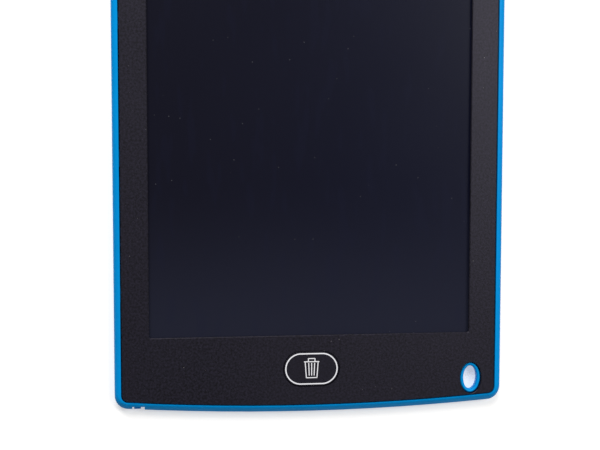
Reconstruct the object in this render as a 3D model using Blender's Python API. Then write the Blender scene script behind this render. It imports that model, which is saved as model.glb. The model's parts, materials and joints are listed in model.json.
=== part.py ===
"""An LCD writing tablet with its stylus stored in the back, lying face up.

+X is to the right, +Y runs towards the top of the screen and +Z comes out of the screen.
The origin is the middle of the back face. Heights up the screen are given from the lowest
point of the bowed bottom edge, and from_bottom() turns them into Y.
"""

import math

import bmesh
import bpy
from mathutils import Vector

MM = 0.001

# Whole body
BODY_WIDTH = 145.8 * MM
BODY_LENGTH = 226.0 * MM
CORNER_RADIUS = 5.0 * MM
BOTTOM_BOW_DEPTH = 3.0 * MM

# Clearances
REST_GAP = 0.25 * MM
SIDE_GAP = 0.3 * MM
NEST_GAP = 0.1 * MM
SOLDER_GAP = 0.15 * MM
CUT_OVERRUN = 1.0 * MM

# Back shell
SHELL_FLOOR = 1.0 * MM
SIDE_RIM_WIDTH = 2.35 * MM
BOTTOM_RIM_WIDTH = 2.5 * MM
FRONT_EDGE_RADIUS = 2.0 * MM
BOTTOM_RIM_FLAT = 0.15 * MM
# How far the bottom edge's slope is from a quarter round, at 0, towards a plain chamfer, at 1
BOTTOM_SLOPE_SHARE = 0.7
BACK_EDGE_RADIUS = 1.8 * MM
RIB_THICKNESS = 1.0 * MM
RIB_LEAST_HEIGHT = 0.6 * MM

# Front panel round the screen
PANEL_RECESS = 0.2 * MM
PANEL_THICKNESS = 1.0 * MM
PANEL_EDGE_BREAK = 0.2 * MM
SIDE_BORDER = 12.7 * MM
TOP_BORDER = 17.75 * MM
BOTTOM_BORDER = 28.95 * MM
WINDOW_CORNER_RADIUS = 0.6 * MM
WINDOW_CHAMFER = 0.3 * MM

# Clips of the panel, which snap under catches in the shell
CLIP_LENGTH = 6.0 * MM
CLIP_THICKNESS = 0.9 * MM
CLIP_DEPTH = 2.0 * MM
CLIP_NUB = 0.55 * MM
CATCH_HEIGHT = 0.6 * MM
CATCH_REACH = 0.5 * MM

# Screen stack behind the panel
TAPE_THICKNESS = 0.15 * MM
SHEET_THICKNESS = 0.22 * MM
BACKING_THICKNESS = 0.7 * MM
SHEET_MARGIN = 1.2 * MM
ELECTRODE_TAB_WIDTH = 8.0 * MM
ELECTRODE_TAB_LENGTH = 2.4 * MM

# Erase key
KEY_LENGTH = 21.0 * MM
KEY_WIDTH = 12.95 * MM
KEY_UP = 16.3 * MM
KEY_SINK = 0.05 * MM
KEY_EDGE_BREAK = 0.12 * MM
KEY_FLANGE_WIDTH = 1.0 * MM
KEY_FLANGE_THICKNESS = 0.4 * MM
KEY_TRAVEL = 0.3 * MM

# Erase switch under the key
TACT_BASE_SIDE = 5.2 * MM
TACT_BASE_HEIGHT = 0.9 * MM
TACT_BASE_FLOOR = 0.25 * MM
TACT_WELL_RADIUS = 1.7 * MM
TACT_DOME_RADIUS = 1.5 * MM
TACT_DOME_EDGE = 0.06 * MM
TACT_DOME_RISE = 0.12 * MM
TACT_PLUNGER_RADIUS = 1.1 * MM

# Circuit board
BOARD_LEFT = -33.0 * MM
BOARD_RIGHT = 13.0 * MM
BOARD_THICKNESS = 0.6 * MM
BOARD_CORNER_RADIUS = 1.0 * MM
BOARD_TOP_CLEARANCE = 2.5 * MM
BOARD_BOTTOM_CLEARANCE = 1.4 * MM

# Screws that hold the board
BOARD_SCREW_INSET = 3.4 * MM
BOARD_SCREW_UP = 2.4 * MM
BOARD_SCREW_HEAD_RADIUS = 1.5 * MM
BOARD_SCREW_HEAD_HEIGHT = 0.5 * MM
BOARD_SCREW_SHANK_RADIUS = 0.7 * MM
BOARD_SCREW_BOSS_RADIUS = 2.2 * MM
BOARD_SCREW_PILOT_FLOOR = 0.45 * MM
SCREW_SLOT_WIDTH = 0.4 * MM
SCREW_SLOT_DEPTH = 0.3 * MM

# Lock slider on the back and the switch that it moves
SLIDER_X = -24.0 * MM
SLIDER_UP = 16.4 * MM
SLIDER_TRAVEL = 2.0 * MM
SLIDER_SINK = 0.1 * MM
SLIDER_PAD_LENGTH = 6.0 * MM
SLIDER_PAD_WIDTH = 3.0 * MM
SLIDER_GROOVE_COUNT = 4
SLIDER_GROOVE_WIDTH = 0.5 * MM
SLIDER_GROOVE_DEPTH = 0.25 * MM
SLIDER_FLANGE_MARGIN = 1.2 * MM
SLIDER_FLANGE_THICKNESS = 0.3 * MM
SLIDER_DISH_MARGIN = 2.2 * MM
SLIDER_DISH_DEPTH = 0.35 * MM
PRONG_LENGTH = 0.7 * MM
PRONG_DEPTH = 1.6 * MM
SWITCH_LENGTH = 7.0 * MM
SWITCH_WIDTH = 2.6 * MM
SWITCH_HEIGHT = 1.2 * MM
LEVER_LENGTH = 1.2 * MM
LEVER_THICKNESS = 0.4 * MM
LEVER_REACH = 1.5 * MM
LEVER_ROOT = 0.7 * MM

# Coin cell, which is as large as the battery door's length and width leave room for
CELL_HEIGHT = 1.6 * MM
CELL_CUP_GAP = 2.05 * MM
CELL_SIDE_MARGIN = 0.9 * MM
CELL_WALL = 0.25 * MM
CELL_CAN_SETBACK = 0.2 * MM
CELL_GASKET_THICKNESS = 0.3 * MM
CELL_WELL_WALL = 0.8 * MM

# Battery contacts
CONTACT_THICKNESS = 0.2 * MM
CONTACT_WIDTH = 3.6 * MM
CONTACT_OFFSET = 3.6 * MM
CONTACT_BOARD_OVERLAP = 3.6 * MM
CONTACT_RISE_LENGTH = 2.0 * MM
CONTACT_FLAT_LENGTH = 6.0 * MM

# Battery door, which hooks under the shell on its left and is screwed on its right
DOOR_LENGTH = 30.6 * MM
DOOR_WIDTH = 21.8 * MM
DOOR_SINK = 0.15 * MM
DOOR_THICKNESS = 0.8 * MM
DOOR_CORNER_RADIUS = 1.5 * MM
DOOR_LEDGE_THICKNESS = 0.6 * MM
DOOR_LEDGE_WIDTH = 2.0 * MM
DOOR_CELL_INSET = 2.2 * MM
TONGUE_OFFSET = 7.9 * MM
TONGUE_WIDTH = 2.8 * MM
TONGUE_REACH = 1.2 * MM
TONGUE_THICKNESS = 0.6 * MM
TONGUE_RISER = 0.8 * MM

# Screw of the battery door, held in a cup of the door
DOOR_SCREW_INSET = 3.8 * MM
DOOR_SCREW_HEAD_RADIUS = 1.7 * MM
DOOR_SCREW_HEAD_HEIGHT = 0.6 * MM
DOOR_SCREW_HEAD_SINK = 0.3 * MM
DOOR_SCREW_SHANK_RADIUS = 0.9 * MM
DOOR_SCREW_SHANK_LENGTH = 2.2 * MM
DOOR_CUP_WALL = 0.6 * MM
DOOR_CUP_ROOF = 0.5 * MM
DOOR_BOSS_WALL = 0.9 * MM
DOOR_BOSS_ROOF = 0.5 * MM

# Lanyard eye in the lower right corner
EYE_INSET = 11.72 * MM
EYE_UP = 11.36 * MM
EYE_COLLAR_HALF_WIDTH = 3.84 * MM
EYE_COLLAR_HALF_LENGTH = 5.7 * MM
EYE_HOLE_HALF_WIDTH = 2.58 * MM
EYE_HOLE_HALF_LENGTH = 4.5 * MM
EYE_FRONT_ROUNDING = 0.8 * MM
EYE_COLLAR_BREAK = 0.35 * MM
EYE_SINK = 0.7 * MM
EYE_BACK_ROUNDING = 2.6 * MM

# Stylus and the channel that stores it
STYLUS_INSET = 8.3 * MM
STYLUS_LENGTH = 130.0 * MM
STYLUS_RADIUS = 1.65 * MM
STYLUS_SINK = 0.25 * MM
STYLUS_NOSE_LENGTH = 7.0 * MM
STYLUS_NOSE_RADIUS = 1.0 * MM
STYLUS_TIP_LENGTH = 3.0 * MM
STYLUS_TIP_RADIUS = 0.75 * MM
STYLUS_TIP_END_RADIUS = 0.35 * MM
STYLUS_PEG_RADIUS = 0.45 * MM
STYLUS_PEG_LENGTH = 2.0 * MM
STYLUS_TAIL_LENGTH = 4.4 * MM
STYLUS_TAIL_WIDTH = 2.43 * MM
STYLUS_TAIL_THICKNESS = 2.0 * MM
STYLUS_SHOULDER = 0.8 * MM
CHANNEL_GAP = 0.15 * MM
CHANNEL_WALL = 0.6 * MM
CHANNEL_MOUTH_WIDTH = 2.6 * MM
CHANNEL_END_GAP = 1.5 * MM
NOTCH_LEFT_GAP = 0.7 * MM
NOTCH_RIGHT_GAP = 1.4 * MM
NOTCH_DEPTH = 1.1 * MM

# Ribbon from the screen sheets to the board
RIBBON_X = -14.6 * MM
RIBBON_WIDTH = 6.4 * MM
RIBBON_THICKNESS = 0.12 * MM
RIBBON_BOND_LENGTH = 1.6 * MM
RIBBON_BEND_LENGTH = 0.6 * MM
CONNECTOR_WIDTH = 8.6 * MM
CONNECTOR_DEPTH = 3.0 * MM
CONNECTOR_HEIGHT = 0.8 * MM
CONNECTOR_UP = 20.65 * MM
CONNECTOR_SLOT_DEPTH = 2.0 * MM
CONNECTOR_SIDE_WALL = 0.6 * MM
LATCH_THICKNESS = 0.18 * MM
LATCH_DEPTH = 1.2 * MM

# Sizes of the parts on the board: length, width and height
CONTROLLER_SIZE = (5.0 * MM, 4.4 * MM, 0.9 * MM)
INDUCTOR_SIZE = (4.0 * MM, 4.0 * MM, 1.0 * MM)
DIODE_SIZE = (2.6 * MM, 1.4 * MM, 0.8 * MM)
CAPACITOR_SIZE = (2.0 * MM, 1.2 * MM, 0.7 * MM)
SMALL_CAPACITOR_SIZE = (1.6 * MM, 0.8 * MM, 0.55 * MM)
RESISTOR_SIZE = (1.6 * MM, 0.8 * MM, 0.45 * MM)

# How finely round stretches are cut
CORNER_STEPS = 8
BOW_STEPS = 12
EDGE_STEPS = 4
CIRCLE_STEPS = 56
SMALL_CIRCLE_STEPS = 24
STADIUM_STEPS = 10

# Places along the body and the board, as shares of their size
SIDE_CLIP_SHARES = (0.2, 0.42, 0.64, 0.86)
END_CLIP_SHARES = (-0.36, 0.0, 0.36)
LONG_RIB_SHARES = (-0.3, 0.0, 0.3)
CROSS_RIB_SHARES = (0.12, 0.37, 0.63, 0.88)
BOARD_PART_SHARES = {
    "controller_chip": (0.185, 0.28),
    "boost_inductor": (0.37, 0.25),
    "boost_diode": (0.057, 0.39),
    "capacitor_input": (0.165, 0.85),
    "capacitor_output": (0.37, 0.46),
    "capacitor_supply": (0.857, 0.87),
    "resistor_bias": (0.057, 0.66),
    "resistor_pull_up": (0.857, 0.74),
}

BOARD_PARTS = {
    "controller_chip": (CONTROLLER_SIZE, "chip black"),
    "boost_inductor": (INDUCTOR_SIZE, "ferrite"),
    "boost_diode": (DIODE_SIZE, "chip black"),
    "capacitor_input": (CAPACITOR_SIZE, "ceramic"),
    "capacitor_output": (CAPACITOR_SIZE, "ceramic"),
    "capacitor_supply": (SMALL_CAPACITOR_SIZE, "ceramic"),
    "resistor_bias": (RESISTOR_SIZE, "chip black"),
    "resistor_pull_up": (RESISTOR_SIZE, "chip black"),
}

# Colour, roughness and metallic value of each material
COLOURS = {
    "shell blue": ((0.0, 0.24, 0.62, 1.0), 0.45, 0.0),
    "stylus blue": ((0.0, 0.22, 0.58, 1.0), 0.4, 0.0),
    "panel black": ((0.018, 0.018, 0.022, 1.0), 0.6, 0.0),
    "key black": ((0.017, 0.017, 0.021, 1.0), 0.55, 0.0),
    "screen dark": ((0.01, 0.011, 0.02, 1.0), 0.2, 0.0),
    "tape grey": ((0.12, 0.12, 0.12, 1.0), 0.8, 0.0),
    "backing grey": ((0.2, 0.2, 0.21, 1.0), 0.7, 0.0),
    "board green": ((0.02, 0.16, 0.06, 1.0), 0.5, 0.0),
    "chip black": ((0.02, 0.02, 0.02, 1.0), 0.5, 0.0),
    "ferrite": ((0.07, 0.07, 0.075, 1.0), 0.6, 0.0),
    "ceramic": ((0.42, 0.3, 0.18, 1.0), 0.5, 0.0),
    "spring steel": ((0.62, 0.62, 0.6, 1.0), 0.3, 1.0),
    "nickel": ((0.7, 0.7, 0.68, 1.0), 0.25, 1.0),
    "ribbon amber": ((0.5, 0.22, 0.03, 1.0), 0.4, 0.0),
    "connector cream": ((0.7, 0.66, 0.55, 1.0), 0.5, 0.0),
    "gasket grey": ((0.05, 0.05, 0.055, 1.0), 0.7, 0.0),
    "tip black": ((0.03, 0.03, 0.03, 1.0), 0.4, 0.0),
}

HALF_WIDTH = BODY_WIDTH / 2
BOTTOM_SLOPE_REACH = BOTTOM_RIM_WIDTH - BOTTOM_RIM_FLAT
HALF_LENGTH = BODY_LENGTH / 2
BOW_RADIUS = (HALF_WIDTH**2 + BOTTOM_BOW_DEPTH**2) / (2 * BOTTOM_BOW_DEPTH)


def from_bottom(height):
    """The Y of a height up the screen, counted from the lowest point of the bottom edge."""
    return height - HALF_LENGTH


def bow_height(x):
    """How far the bottom edge has risen at a distance from the middle."""
    return BOW_RADIUS - math.sqrt(BOW_RADIUS**2 - x**2)


# Levels of the board, counted up from the back face
BOARD_BACK = SHELL_FLOOR + REST_GAP + SLIDER_FLANGE_THICKNESS + SIDE_GAP
BOARD_FRONT = BOARD_BACK + BOARD_THICKNESS
PARTS_BACK = BOARD_FRONT + SOLDER_GAP
TACT_TOP = PARTS_BACK + TACT_BASE_HEIGHT
TALLEST_PART = max([SWITCH_HEIGHT] + [size[2] for size, _ in BOARD_PARTS.values()])

# Levels of the battery, counted up from the back face
DOOR_FRONT = DOOR_SINK + DOOR_THICKNESS
LEDGE_BACK = DOOR_FRONT + REST_GAP
LEDGE_FRONT = LEDGE_BACK + DOOR_LEDGE_THICKNESS
CELL_BACK = DOOR_FRONT + REST_GAP
CELL_FRONT = CELL_BACK + CELL_HEIGHT
LEAF_BACK = max(CELL_FRONT + REST_GAP, PARTS_BACK)
TONGUE_BACK = SHELL_FLOOR + SIDE_GAP
TONGUE_FRONT = TONGUE_BACK + TONGUE_THICKNESS
DOOR_SCREW_SEAT = DOOR_SCREW_HEAD_SINK + DOOR_SCREW_HEAD_HEIGHT
CUP_FRONT = DOOR_SCREW_SEAT + REST_GAP + DOOR_CUP_ROOF
DOOR_SCREW_END = DOOR_SCREW_SEAT + DOOR_SCREW_SHANK_LENGTH
DOOR_BOSS_FRONT = DOOR_SCREW_END + SIDE_GAP + DOOR_BOSS_ROOF

# Levels of the stylus, counted up from the back face
STYLUS_Z = STYLUS_SINK + STYLUS_RADIUS
CHANNEL_RADIUS = STYLUS_RADIUS + CHANNEL_GAP
CHANNEL_FRONT = STYLUS_Z + CHANNEL_RADIUS + CHANNEL_WALL

# The panel lies on the tallest of the stacks, and the body is as thick as they need
SCREEN_STACK = BACKING_THICKNESS + 2 * SHEET_THICKNESS + TAPE_THICKNESS + 5 * REST_GAP
KEY_STACK = KEY_TRAVEL + NEST_GAP + KEY_FLANGE_THICKNESS + REST_GAP
PANEL_BACK = max(
    TACT_TOP + KEY_STACK,
    SHELL_FLOOR + RIB_LEAST_HEIGHT + SCREEN_STACK,
    CHANNEL_FRONT + REST_GAP,
    PARTS_BACK + TALLEST_PART + REST_GAP,
    LEAF_BACK + CONTACT_THICKNESS + REST_GAP,
    DOOR_BOSS_FRONT + REST_GAP,
)
PANEL_FRONT = PANEL_BACK + PANEL_THICKNESS
BODY_THICKNESS = PANEL_FRONT + PANEL_RECESS

# Levels of the screen and the key, counted down from the panel
TAPE_BACK = PANEL_BACK - REST_GAP - TAPE_THICKNESS
FRONT_SHEET_BACK = TAPE_BACK - REST_GAP - SHEET_THICKNESS
REAR_SHEET_BACK = FRONT_SHEET_BACK - REST_GAP - SHEET_THICKNESS
BACKING_BACK = REAR_SHEET_BACK - REST_GAP - BACKING_THICKNESS
KEY_FRONT = PANEL_FRONT - KEY_SINK
EYE_FRONT = PANEL_FRONT - EYE_SINK
KEY_FLANGE_FRONT = PANEL_BACK - REST_GAP
KEY_BACK = KEY_FLANGE_FRONT - KEY_FLANGE_THICKNESS

# Places across the body
SCREEN_HALF_WIDTH = HALF_WIDTH - SIDE_BORDER
SCREEN_TOP = BODY_LENGTH - TOP_BORDER
SHEET_HALF_WIDTH = SCREEN_HALF_WIDTH + SHEET_MARGIN
SHEET_BOTTOM = BOTTOM_BORDER - SHEET_MARGIN
SHEET_TOP = SCREEN_TOP + SHEET_MARGIN
KEY_Y = from_bottom(KEY_UP)
CLIP_INNER_REACH = CATCH_REACH + SIDE_GAP + CLIP_THICKNESS
BOARD_BOTTOM = BOTTOM_RIM_WIDTH + CLIP_INNER_REACH + BOARD_BOTTOM_CLEARANCE
BOARD_TOP = SHEET_BOTTOM - BOARD_TOP_CLEARANCE
SLIDER_Y = from_bottom(SLIDER_UP)
EYE_X = HALF_WIDTH - EYE_INSET
EYE_Y = from_bottom(EYE_UP)
STYLUS_X = -HALF_WIDTH + STYLUS_INSET
STYLUS_END = from_bottom(bow_height(STYLUS_X))
STYLUS_TIP_END = STYLUS_END + STYLUS_LENGTH
DOOR_LEFT = (BOARD_RIGHT + EYE_X - EYE_COLLAR_HALF_WIDTH - DOOR_LENGTH) / 2
DOOR_RIGHT = DOOR_LEFT + DOOR_LENGTH
DOOR_SCREW_X = DOOR_RIGHT - DOOR_SCREW_INSET
CUP_BORE_RADIUS = DOOR_SCREW_HEAD_RADIUS + REST_GAP
CUP_RADIUS = CUP_BORE_RADIUS + DOOR_CUP_WALL
CELL_ROOM_ALONG = DOOR_LENGTH - DOOR_CELL_INSET - CELL_CUP_GAP - CUP_RADIUS - DOOR_SCREW_INSET
CELL_ROOM_ACROSS = DOOR_WIDTH - 2 * CELL_SIDE_MARGIN
CELL_RADIUS = min(CELL_ROOM_ALONG, CELL_ROOM_ACROSS) / 2
CELL_X = DOOR_LEFT + DOOR_CELL_INSET + CELL_RADIUS
CELL_WELL_RADIUS = CELL_RADIUS + SIDE_GAP
SWITCH_X = SLIDER_X + SLIDER_TRAVEL / 2
SWITCH_FACE = SLIDER_Y + PRONG_DEPTH / 2 + SIDE_GAP
LEVER_Z = PARTS_BACK + SWITCH_HEIGHT / 2
DOOR_AXIS = (DOOR_LEFT, KEY_Y, DOOR_SINK)
NO_OFFSET = (0.0, 0.0, 0.0)


def clear_scene():
    """Empties the scene that the script starts in."""
    for old in list(bpy.data.objects):
        bpy.data.objects.remove(old)


def material(name):
    """The named material, made on its first use."""
    found = bpy.data.materials.get(name)
    if found:
        return found
    colour, roughness, metallic = COLOURS[name]
    made = bpy.data.materials.new(name)
    made.use_nodes = True
    shader = made.node_tree.nodes["Principled BSDF"]
    shader.inputs["Base Color"].default_value = colour
    shader.inputs["Roughness"].default_value = roughness
    shader.inputs["Metallic"].default_value = metallic
    made.diffuse_color = colour
    return made


# Outlines are lists of points that run anticlockwise


def arc(centre, radius, start, end, steps):
    """Points on an arc from one angle to another, both ends included."""
    angles = [start + (end - start) * i / steps for i in range(steps + 1)]
    return [(centre[0] + radius * math.cos(a), centre[1] + radius * math.sin(a)) for a in angles]


def quarter_turns():
    """The angles of a quarter turn, in even steps."""
    return [math.pi / 2 * i / EDGE_STEPS for i in range(EDGE_STEPS + 1)]


def body_outline(side_inset, bottom_inset):
    """The body's outline, drawn in by one distance on three sides and another at the bottom."""
    half_width = HALF_WIDTH - side_inset
    top = HALF_LENGTH - side_inset
    radius = CORNER_RADIUS - side_inset
    bow_radius = BOW_RADIUS - bottom_inset
    bow_centre = (0.0, BOW_RADIUS - HALF_LENGTH)
    corner_x = half_width - radius
    corner_y = bow_centre[1] - math.sqrt((bow_radius - radius) ** 2 - corner_x**2)
    tilt = math.asin(corner_x / (bow_radius - radius))
    right, up, left, down = 0.0, math.pi / 2, math.pi, 3 * math.pi / 2
    points = arc((corner_x, top - radius), radius, right, up, CORNER_STEPS)
    points += arc((-corner_x, top - radius), radius, up, left, CORNER_STEPS)
    points += arc((-corner_x, corner_y), radius, left, down - tilt, CORNER_STEPS)
    points += arc(bow_centre, bow_radius, down - tilt, down + tilt, BOW_STEPS)[1:-1]
    points += arc((corner_x, corner_y), radius, down + tilt, 2 * math.pi, CORNER_STEPS)
    return points


def rectangle(left, right, low, high):
    """A plain rectangle."""
    return [(left, low), (right, low), (right, high), (left, high)]


def rounded_rectangle(left, right, low, high, radius):
    """A rectangle with round corners."""
    quarter = math.pi / 2
    corners = (
        ((right - radius, low + radius), -quarter),
        ((right - radius, high - radius), 0.0),
        ((left + radius, high - radius), quarter),
        ((left + radius, low + radius), 2 * quarter),
    )
    points = []
    for centre, start in corners:
        points += arc(centre, radius, start, start + quarter, CORNER_STEPS)
    return points


def stadium(centre_x, centre_y, length, width):
    """A slot shape with half-round ends, long in X."""
    half = (length - width) / 2
    quarter = math.pi / 2
    points = arc((centre_x + half, centre_y), width / 2, -quarter, quarter, STADIUM_STEPS)
    points += arc((centre_x - half, centre_y), width / 2, quarter, 3 * quarter, STADIUM_STEPS)
    return points


def ellipse(centre_x, centre_y, half_width, half_length, steps=CIRCLE_STEPS):
    """An ellipse, or a circle where its halves are alike."""
    turns = [2 * math.pi * i / steps for i in range(steps)]
    return [(centre_x + half_width * math.cos(t), centre_y + half_length * math.sin(t)) for t in turns]


def circle(centre_x, centre_y, radius, steps=CIRCLE_STEPS):
    """A circle."""
    return ellipse(centre_x, centre_y, radius, radius, steps)


def thick_line(points, thickness):
    """The outline of a strip of that thickness along points, mitred where it bends."""
    sides = ([], [])
    for i, point in enumerate(points):
        here = Vector(point)
        before = here - Vector(points[i - 1]) if i else None
        after = Vector(points[i + 1]) - here if i < len(points) - 1 else None
        first = (before or after).normalized()
        second = (after or before).normalized()
        along = (first + second).normalized()
        normal = Vector((-along.y, along.x))
        reach = thickness / 2 / normal.dot(Vector((-first.y, first.x)))
        sides[0].append(tuple(here + normal * reach))
        sides[1].append(tuple(here - normal * reach))
    return sides[0] + sides[1][::-1]


# Solids


def level(outline, z):
    """An outline set at a height."""
    return [(x, y, z) for x, y in outline]


def solid(name, rings, material_name, origin=NO_OFFSET, closed=False):
    """A skin over rings of equally many points, capped at both ends unless it closes on itself."""
    place = Vector(origin)
    mesh = bmesh.new()
    rows = [[mesh.verts.new(Vector(point) - place) for point in ring] for ring in rings]
    count = len(rows[0])
    pairs = list(zip(rows, rows[1:]))
    if closed:
        pairs.append((rows[-1], rows[0]))
    else:
        mesh.faces.new(list(reversed(rows[0])))
        mesh.faces.new(rows[-1])
    for lower, upper in pairs:
        for i in range(count):
            j = (i + 1) % count
            mesh.faces.new((lower[i], lower[j], upper[j], upper[i]))
    bmesh.ops.recalc_face_normals(mesh, faces=mesh.faces)
    data = bpy.data.meshes.new(name)
    mesh.to_mesh(data)
    mesh.free()
    data.materials.append(material(material_name))
    made = bpy.data.objects.new(name, data)
    made.location = place
    bpy.context.scene.collection.objects.link(made)
    return made


def prism(name, outline, low, high, material_name, origin=NO_OFFSET):
    """An outline extruded between two heights."""
    return solid(name, [level(outline, low), level(outline, high)], material_name, origin)


def turned(name, centre_x, centre_y, profile, material_name, origin=NO_OFFSET):
    """A round piece about an axis along Z. The profile gives a height and a radius a ring."""
    rings = [level(circle(centre_x, centre_y, radius, SMALL_CIRCLE_STEPS), z) for z, radius in profile]
    return smooth(solid(name, rings, material_name, origin))


def turned_along_y(name, profile, material_name, origin=NO_OFFSET):
    """A round piece about the stylus's axis. The profile gives a Y and a radius a ring."""
    rings = []
    for y, radius in profile:
        section = circle(STYLUS_X, STYLUS_Z, radius, SMALL_CIRCLE_STEPS)
        rings.append([(x, y, z) for x, z in section])
    return smooth(solid(name, rings, material_name, origin))


def smooth(made):
    """Shades a round piece smooth between its sharp edges."""
    made.data.shade_smooth()
    made.data.set_sharp_from_angle(angle=math.radians(30))
    return made


def combine(target, operation, tools):
    """Joins hidden tools to a solid, or cuts them from it."""
    group = bpy.data.collections.new(f"{target.name} {operation.lower()}")
    group.hide_render = True
    bpy.context.scene.collection.children.link(group)
    for tool in tools:
        bpy.context.scene.collection.objects.unlink(tool)
        group.objects.link(tool)
        tool.hide_render = True
        tool.display_type = "WIRE"
    modifier = target.modifiers.new(operation.title(), "BOOLEAN")
    modifier.operation = operation
    modifier.operand_type = "COLLECTION"
    modifier.collection = group
    modifier.solver = "EXACT"
    return target


def join(target, tools):
    """Joins tools to a solid."""
    return combine(target, "UNION", tools)


def cut(target, tools):
    """Cuts tools from a solid."""
    return combine(target, "DIFFERENCE", tools)


# Clips that hold the panel in the shell


def clip_places():
    """The middle of each clip on the wall's inner face, and the direction into the body."""
    places = []
    for share in SIDE_CLIP_SHARES:
        y = from_bottom(BODY_LENGTH * share)
        places.append(((-HALF_WIDTH + SIDE_RIM_WIDTH, y), (1, 0)))
        places.append(((HALF_WIDTH - SIDE_RIM_WIDTH, y), (-1, 0)))
    for share in END_CLIP_SHARES:
        x = BODY_WIDTH * share
        places.append(((x, HALF_LENGTH - SIDE_RIM_WIDTH), (0, -1)))
        tilt = math.asin(x / BOW_RADIUS)
        foot = from_bottom(bow_height(x)) + BOTTOM_RIM_WIDTH / math.cos(tilt)
        places.append(((x, foot), (-math.sin(tilt), math.cos(tilt))))
    return places


def clip_prisms(name, profile, material_name):
    """One prism a clip, from a profile of distances from the wall and heights."""
    prisms = []
    half = CLIP_LENGTH / 2
    for i, ((x, y), (into_x, into_y)) in enumerate(clip_places()):
        rings = []
        for along in (-half, half):
            ring = []
            for reach, z in profile:
                ring.append((x + into_x * reach - into_y * along, y + into_y * reach + into_x * along, z))
            rings.append(ring)
        prisms.append(solid(f"{name} {i}", rings, material_name))
    return prisms


def clip_catches():
    """The shell's catches, square blocks that stand out from its walls."""
    low = PANEL_BACK - CLIP_DEPTH + CLIP_NUB + SIDE_GAP
    top = low + CATCH_HEIGHT
    wall = -SIDE_RIM_WIDTH / 2
    profile = [(wall, low), (CATCH_REACH, low), (CATCH_REACH, top), (wall, top)]
    return clip_prisms("catch", profile, "shell blue")


def clip_arms():
    """The panel's clips: an arm that hangs down, with a nub that points at the wall."""
    near = CATCH_REACH + SIDE_GAP
    far = near + CLIP_THICKNESS
    root = PANEL_BACK + PANEL_THICKNESS / 2
    tip = PANEL_BACK - CLIP_DEPTH
    nub_top = tip + CLIP_NUB
    nub = near - CLIP_NUB
    profile = [(near, root), (near, nub_top), (nub, nub_top), (near, tip), (far, tip), (far, root)]
    return clip_prisms("arm", profile, "panel black")


# Back shell


def shell_tray():
    """The tray: a floor, walls and the rounded rim that frames the panel, sloped at the bottom."""
    rings = []
    for turn in quarter_turns():
        inset = BACK_EDGE_RADIUS * (1 - math.sin(turn))
        rings.append(level(body_outline(inset, inset), BACK_EDGE_RADIUS * (1 - math.cos(turn))))
    for turn in quarter_turns():
        rounded = 1 - math.cos(turn)
        sloped = BOTTOM_SLOPE_SHARE * math.sin(turn) + (1 - BOTTOM_SLOPE_SHARE) * rounded
        outline = body_outline(FRONT_EDGE_RADIUS * rounded, BOTTOM_SLOPE_REACH * sloped)
        rings.append(level(outline, BODY_THICKNESS - FRONT_EDGE_RADIUS * (1 - math.sin(turn))))
    inner = body_outline(SIDE_RIM_WIDTH, BOTTOM_RIM_WIDTH)
    rings.append(level(inner, BODY_THICKNESS))
    rings.append(level(inner, SHELL_FLOOR))
    return smooth(solid("back_shell", rings, "shell blue"))


def shell_ribs():
    """Ribs that carry the backing plate."""
    low = SHELL_FLOOR / 2
    high = BACKING_BACK - REST_GAP
    bottom = from_bottom(SHEET_BOTTOM)
    top = from_bottom(SHEET_TOP)
    half = RIB_THICKNESS / 2
    ribs = []
    for i, share in enumerate(LONG_RIB_SHARES):
        x = 2 * SCREEN_HALF_WIDTH * share
        outline = rectangle(x - half, x + half, bottom, top)
        ribs.append(prism(f"long rib {i}", outline, low, high, "shell blue"))
    for i, share in enumerate(CROSS_RIB_SHARES):
        y = bottom + (top - bottom) * share
        outline = rectangle(-SCREEN_HALF_WIDTH, SCREEN_HALF_WIDTH, y - half, y + half)
        ribs.append(prism(f"cross rib {i}", outline, low, high, "shell blue"))
    return ribs


def eye_collar():
    """The oval column round the lanyard hole, which ends a little behind the panel's face."""
    rings = []
    for inset, z in (
        (0.0, SHELL_FLOOR / 2),
        (0.0, EYE_FRONT - EYE_COLLAR_BREAK),
        (EYE_COLLAR_BREAK, EYE_FRONT),
    ):
        outline = ellipse(EYE_X, EYE_Y, EYE_COLLAR_HALF_WIDTH - inset, EYE_COLLAR_HALF_LENGTH - inset)
        rings.append(level(outline, z))
    return solid("eye collar", rings, "shell blue")


def eye_hole():
    """The cutter of the lanyard hole, flared where its two edges are rounded."""
    flares = [(-CUT_OVERRUN, EYE_BACK_ROUNDING)]
    for turn in quarter_turns():
        depth = EYE_BACK_ROUNDING * (1 - math.cos(turn))
        flares.append((depth, EYE_BACK_ROUNDING * (1 - math.sin(turn))))
    for turn in quarter_turns():
        depth = EYE_FRONT_ROUNDING * (1 - math.sin(turn))
        flares.append((EYE_FRONT - depth, EYE_FRONT_ROUNDING * (1 - math.cos(turn))))
    flares.append((EYE_FRONT + CUT_OVERRUN, EYE_FRONT_ROUNDING))
    rings = []
    for z, flare in flares:
        outline = ellipse(EYE_X, EYE_Y, EYE_HOLE_HALF_WIDTH + flare, EYE_HOLE_HALF_LENGTH + flare)
        rings.append(level(outline, z))
    return solid("eye hole", rings, "shell blue")


def channel_walls():
    """The block inside the shell that the stylus's channel runs in."""
    half = CHANNEL_RADIUS + CHANNEL_WALL
    bottom = STYLUS_END + BOTTOM_RIM_WIDTH / 2
    top = STYLUS_TIP_END + CHANNEL_END_GAP + CHANNEL_WALL
    outline = rectangle(STYLUS_X - half, STYLUS_X + half, bottom, top)
    return prism("channel walls", outline, SHELL_FLOOR / 2, CHANNEL_FRONT, "shell blue")


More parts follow.
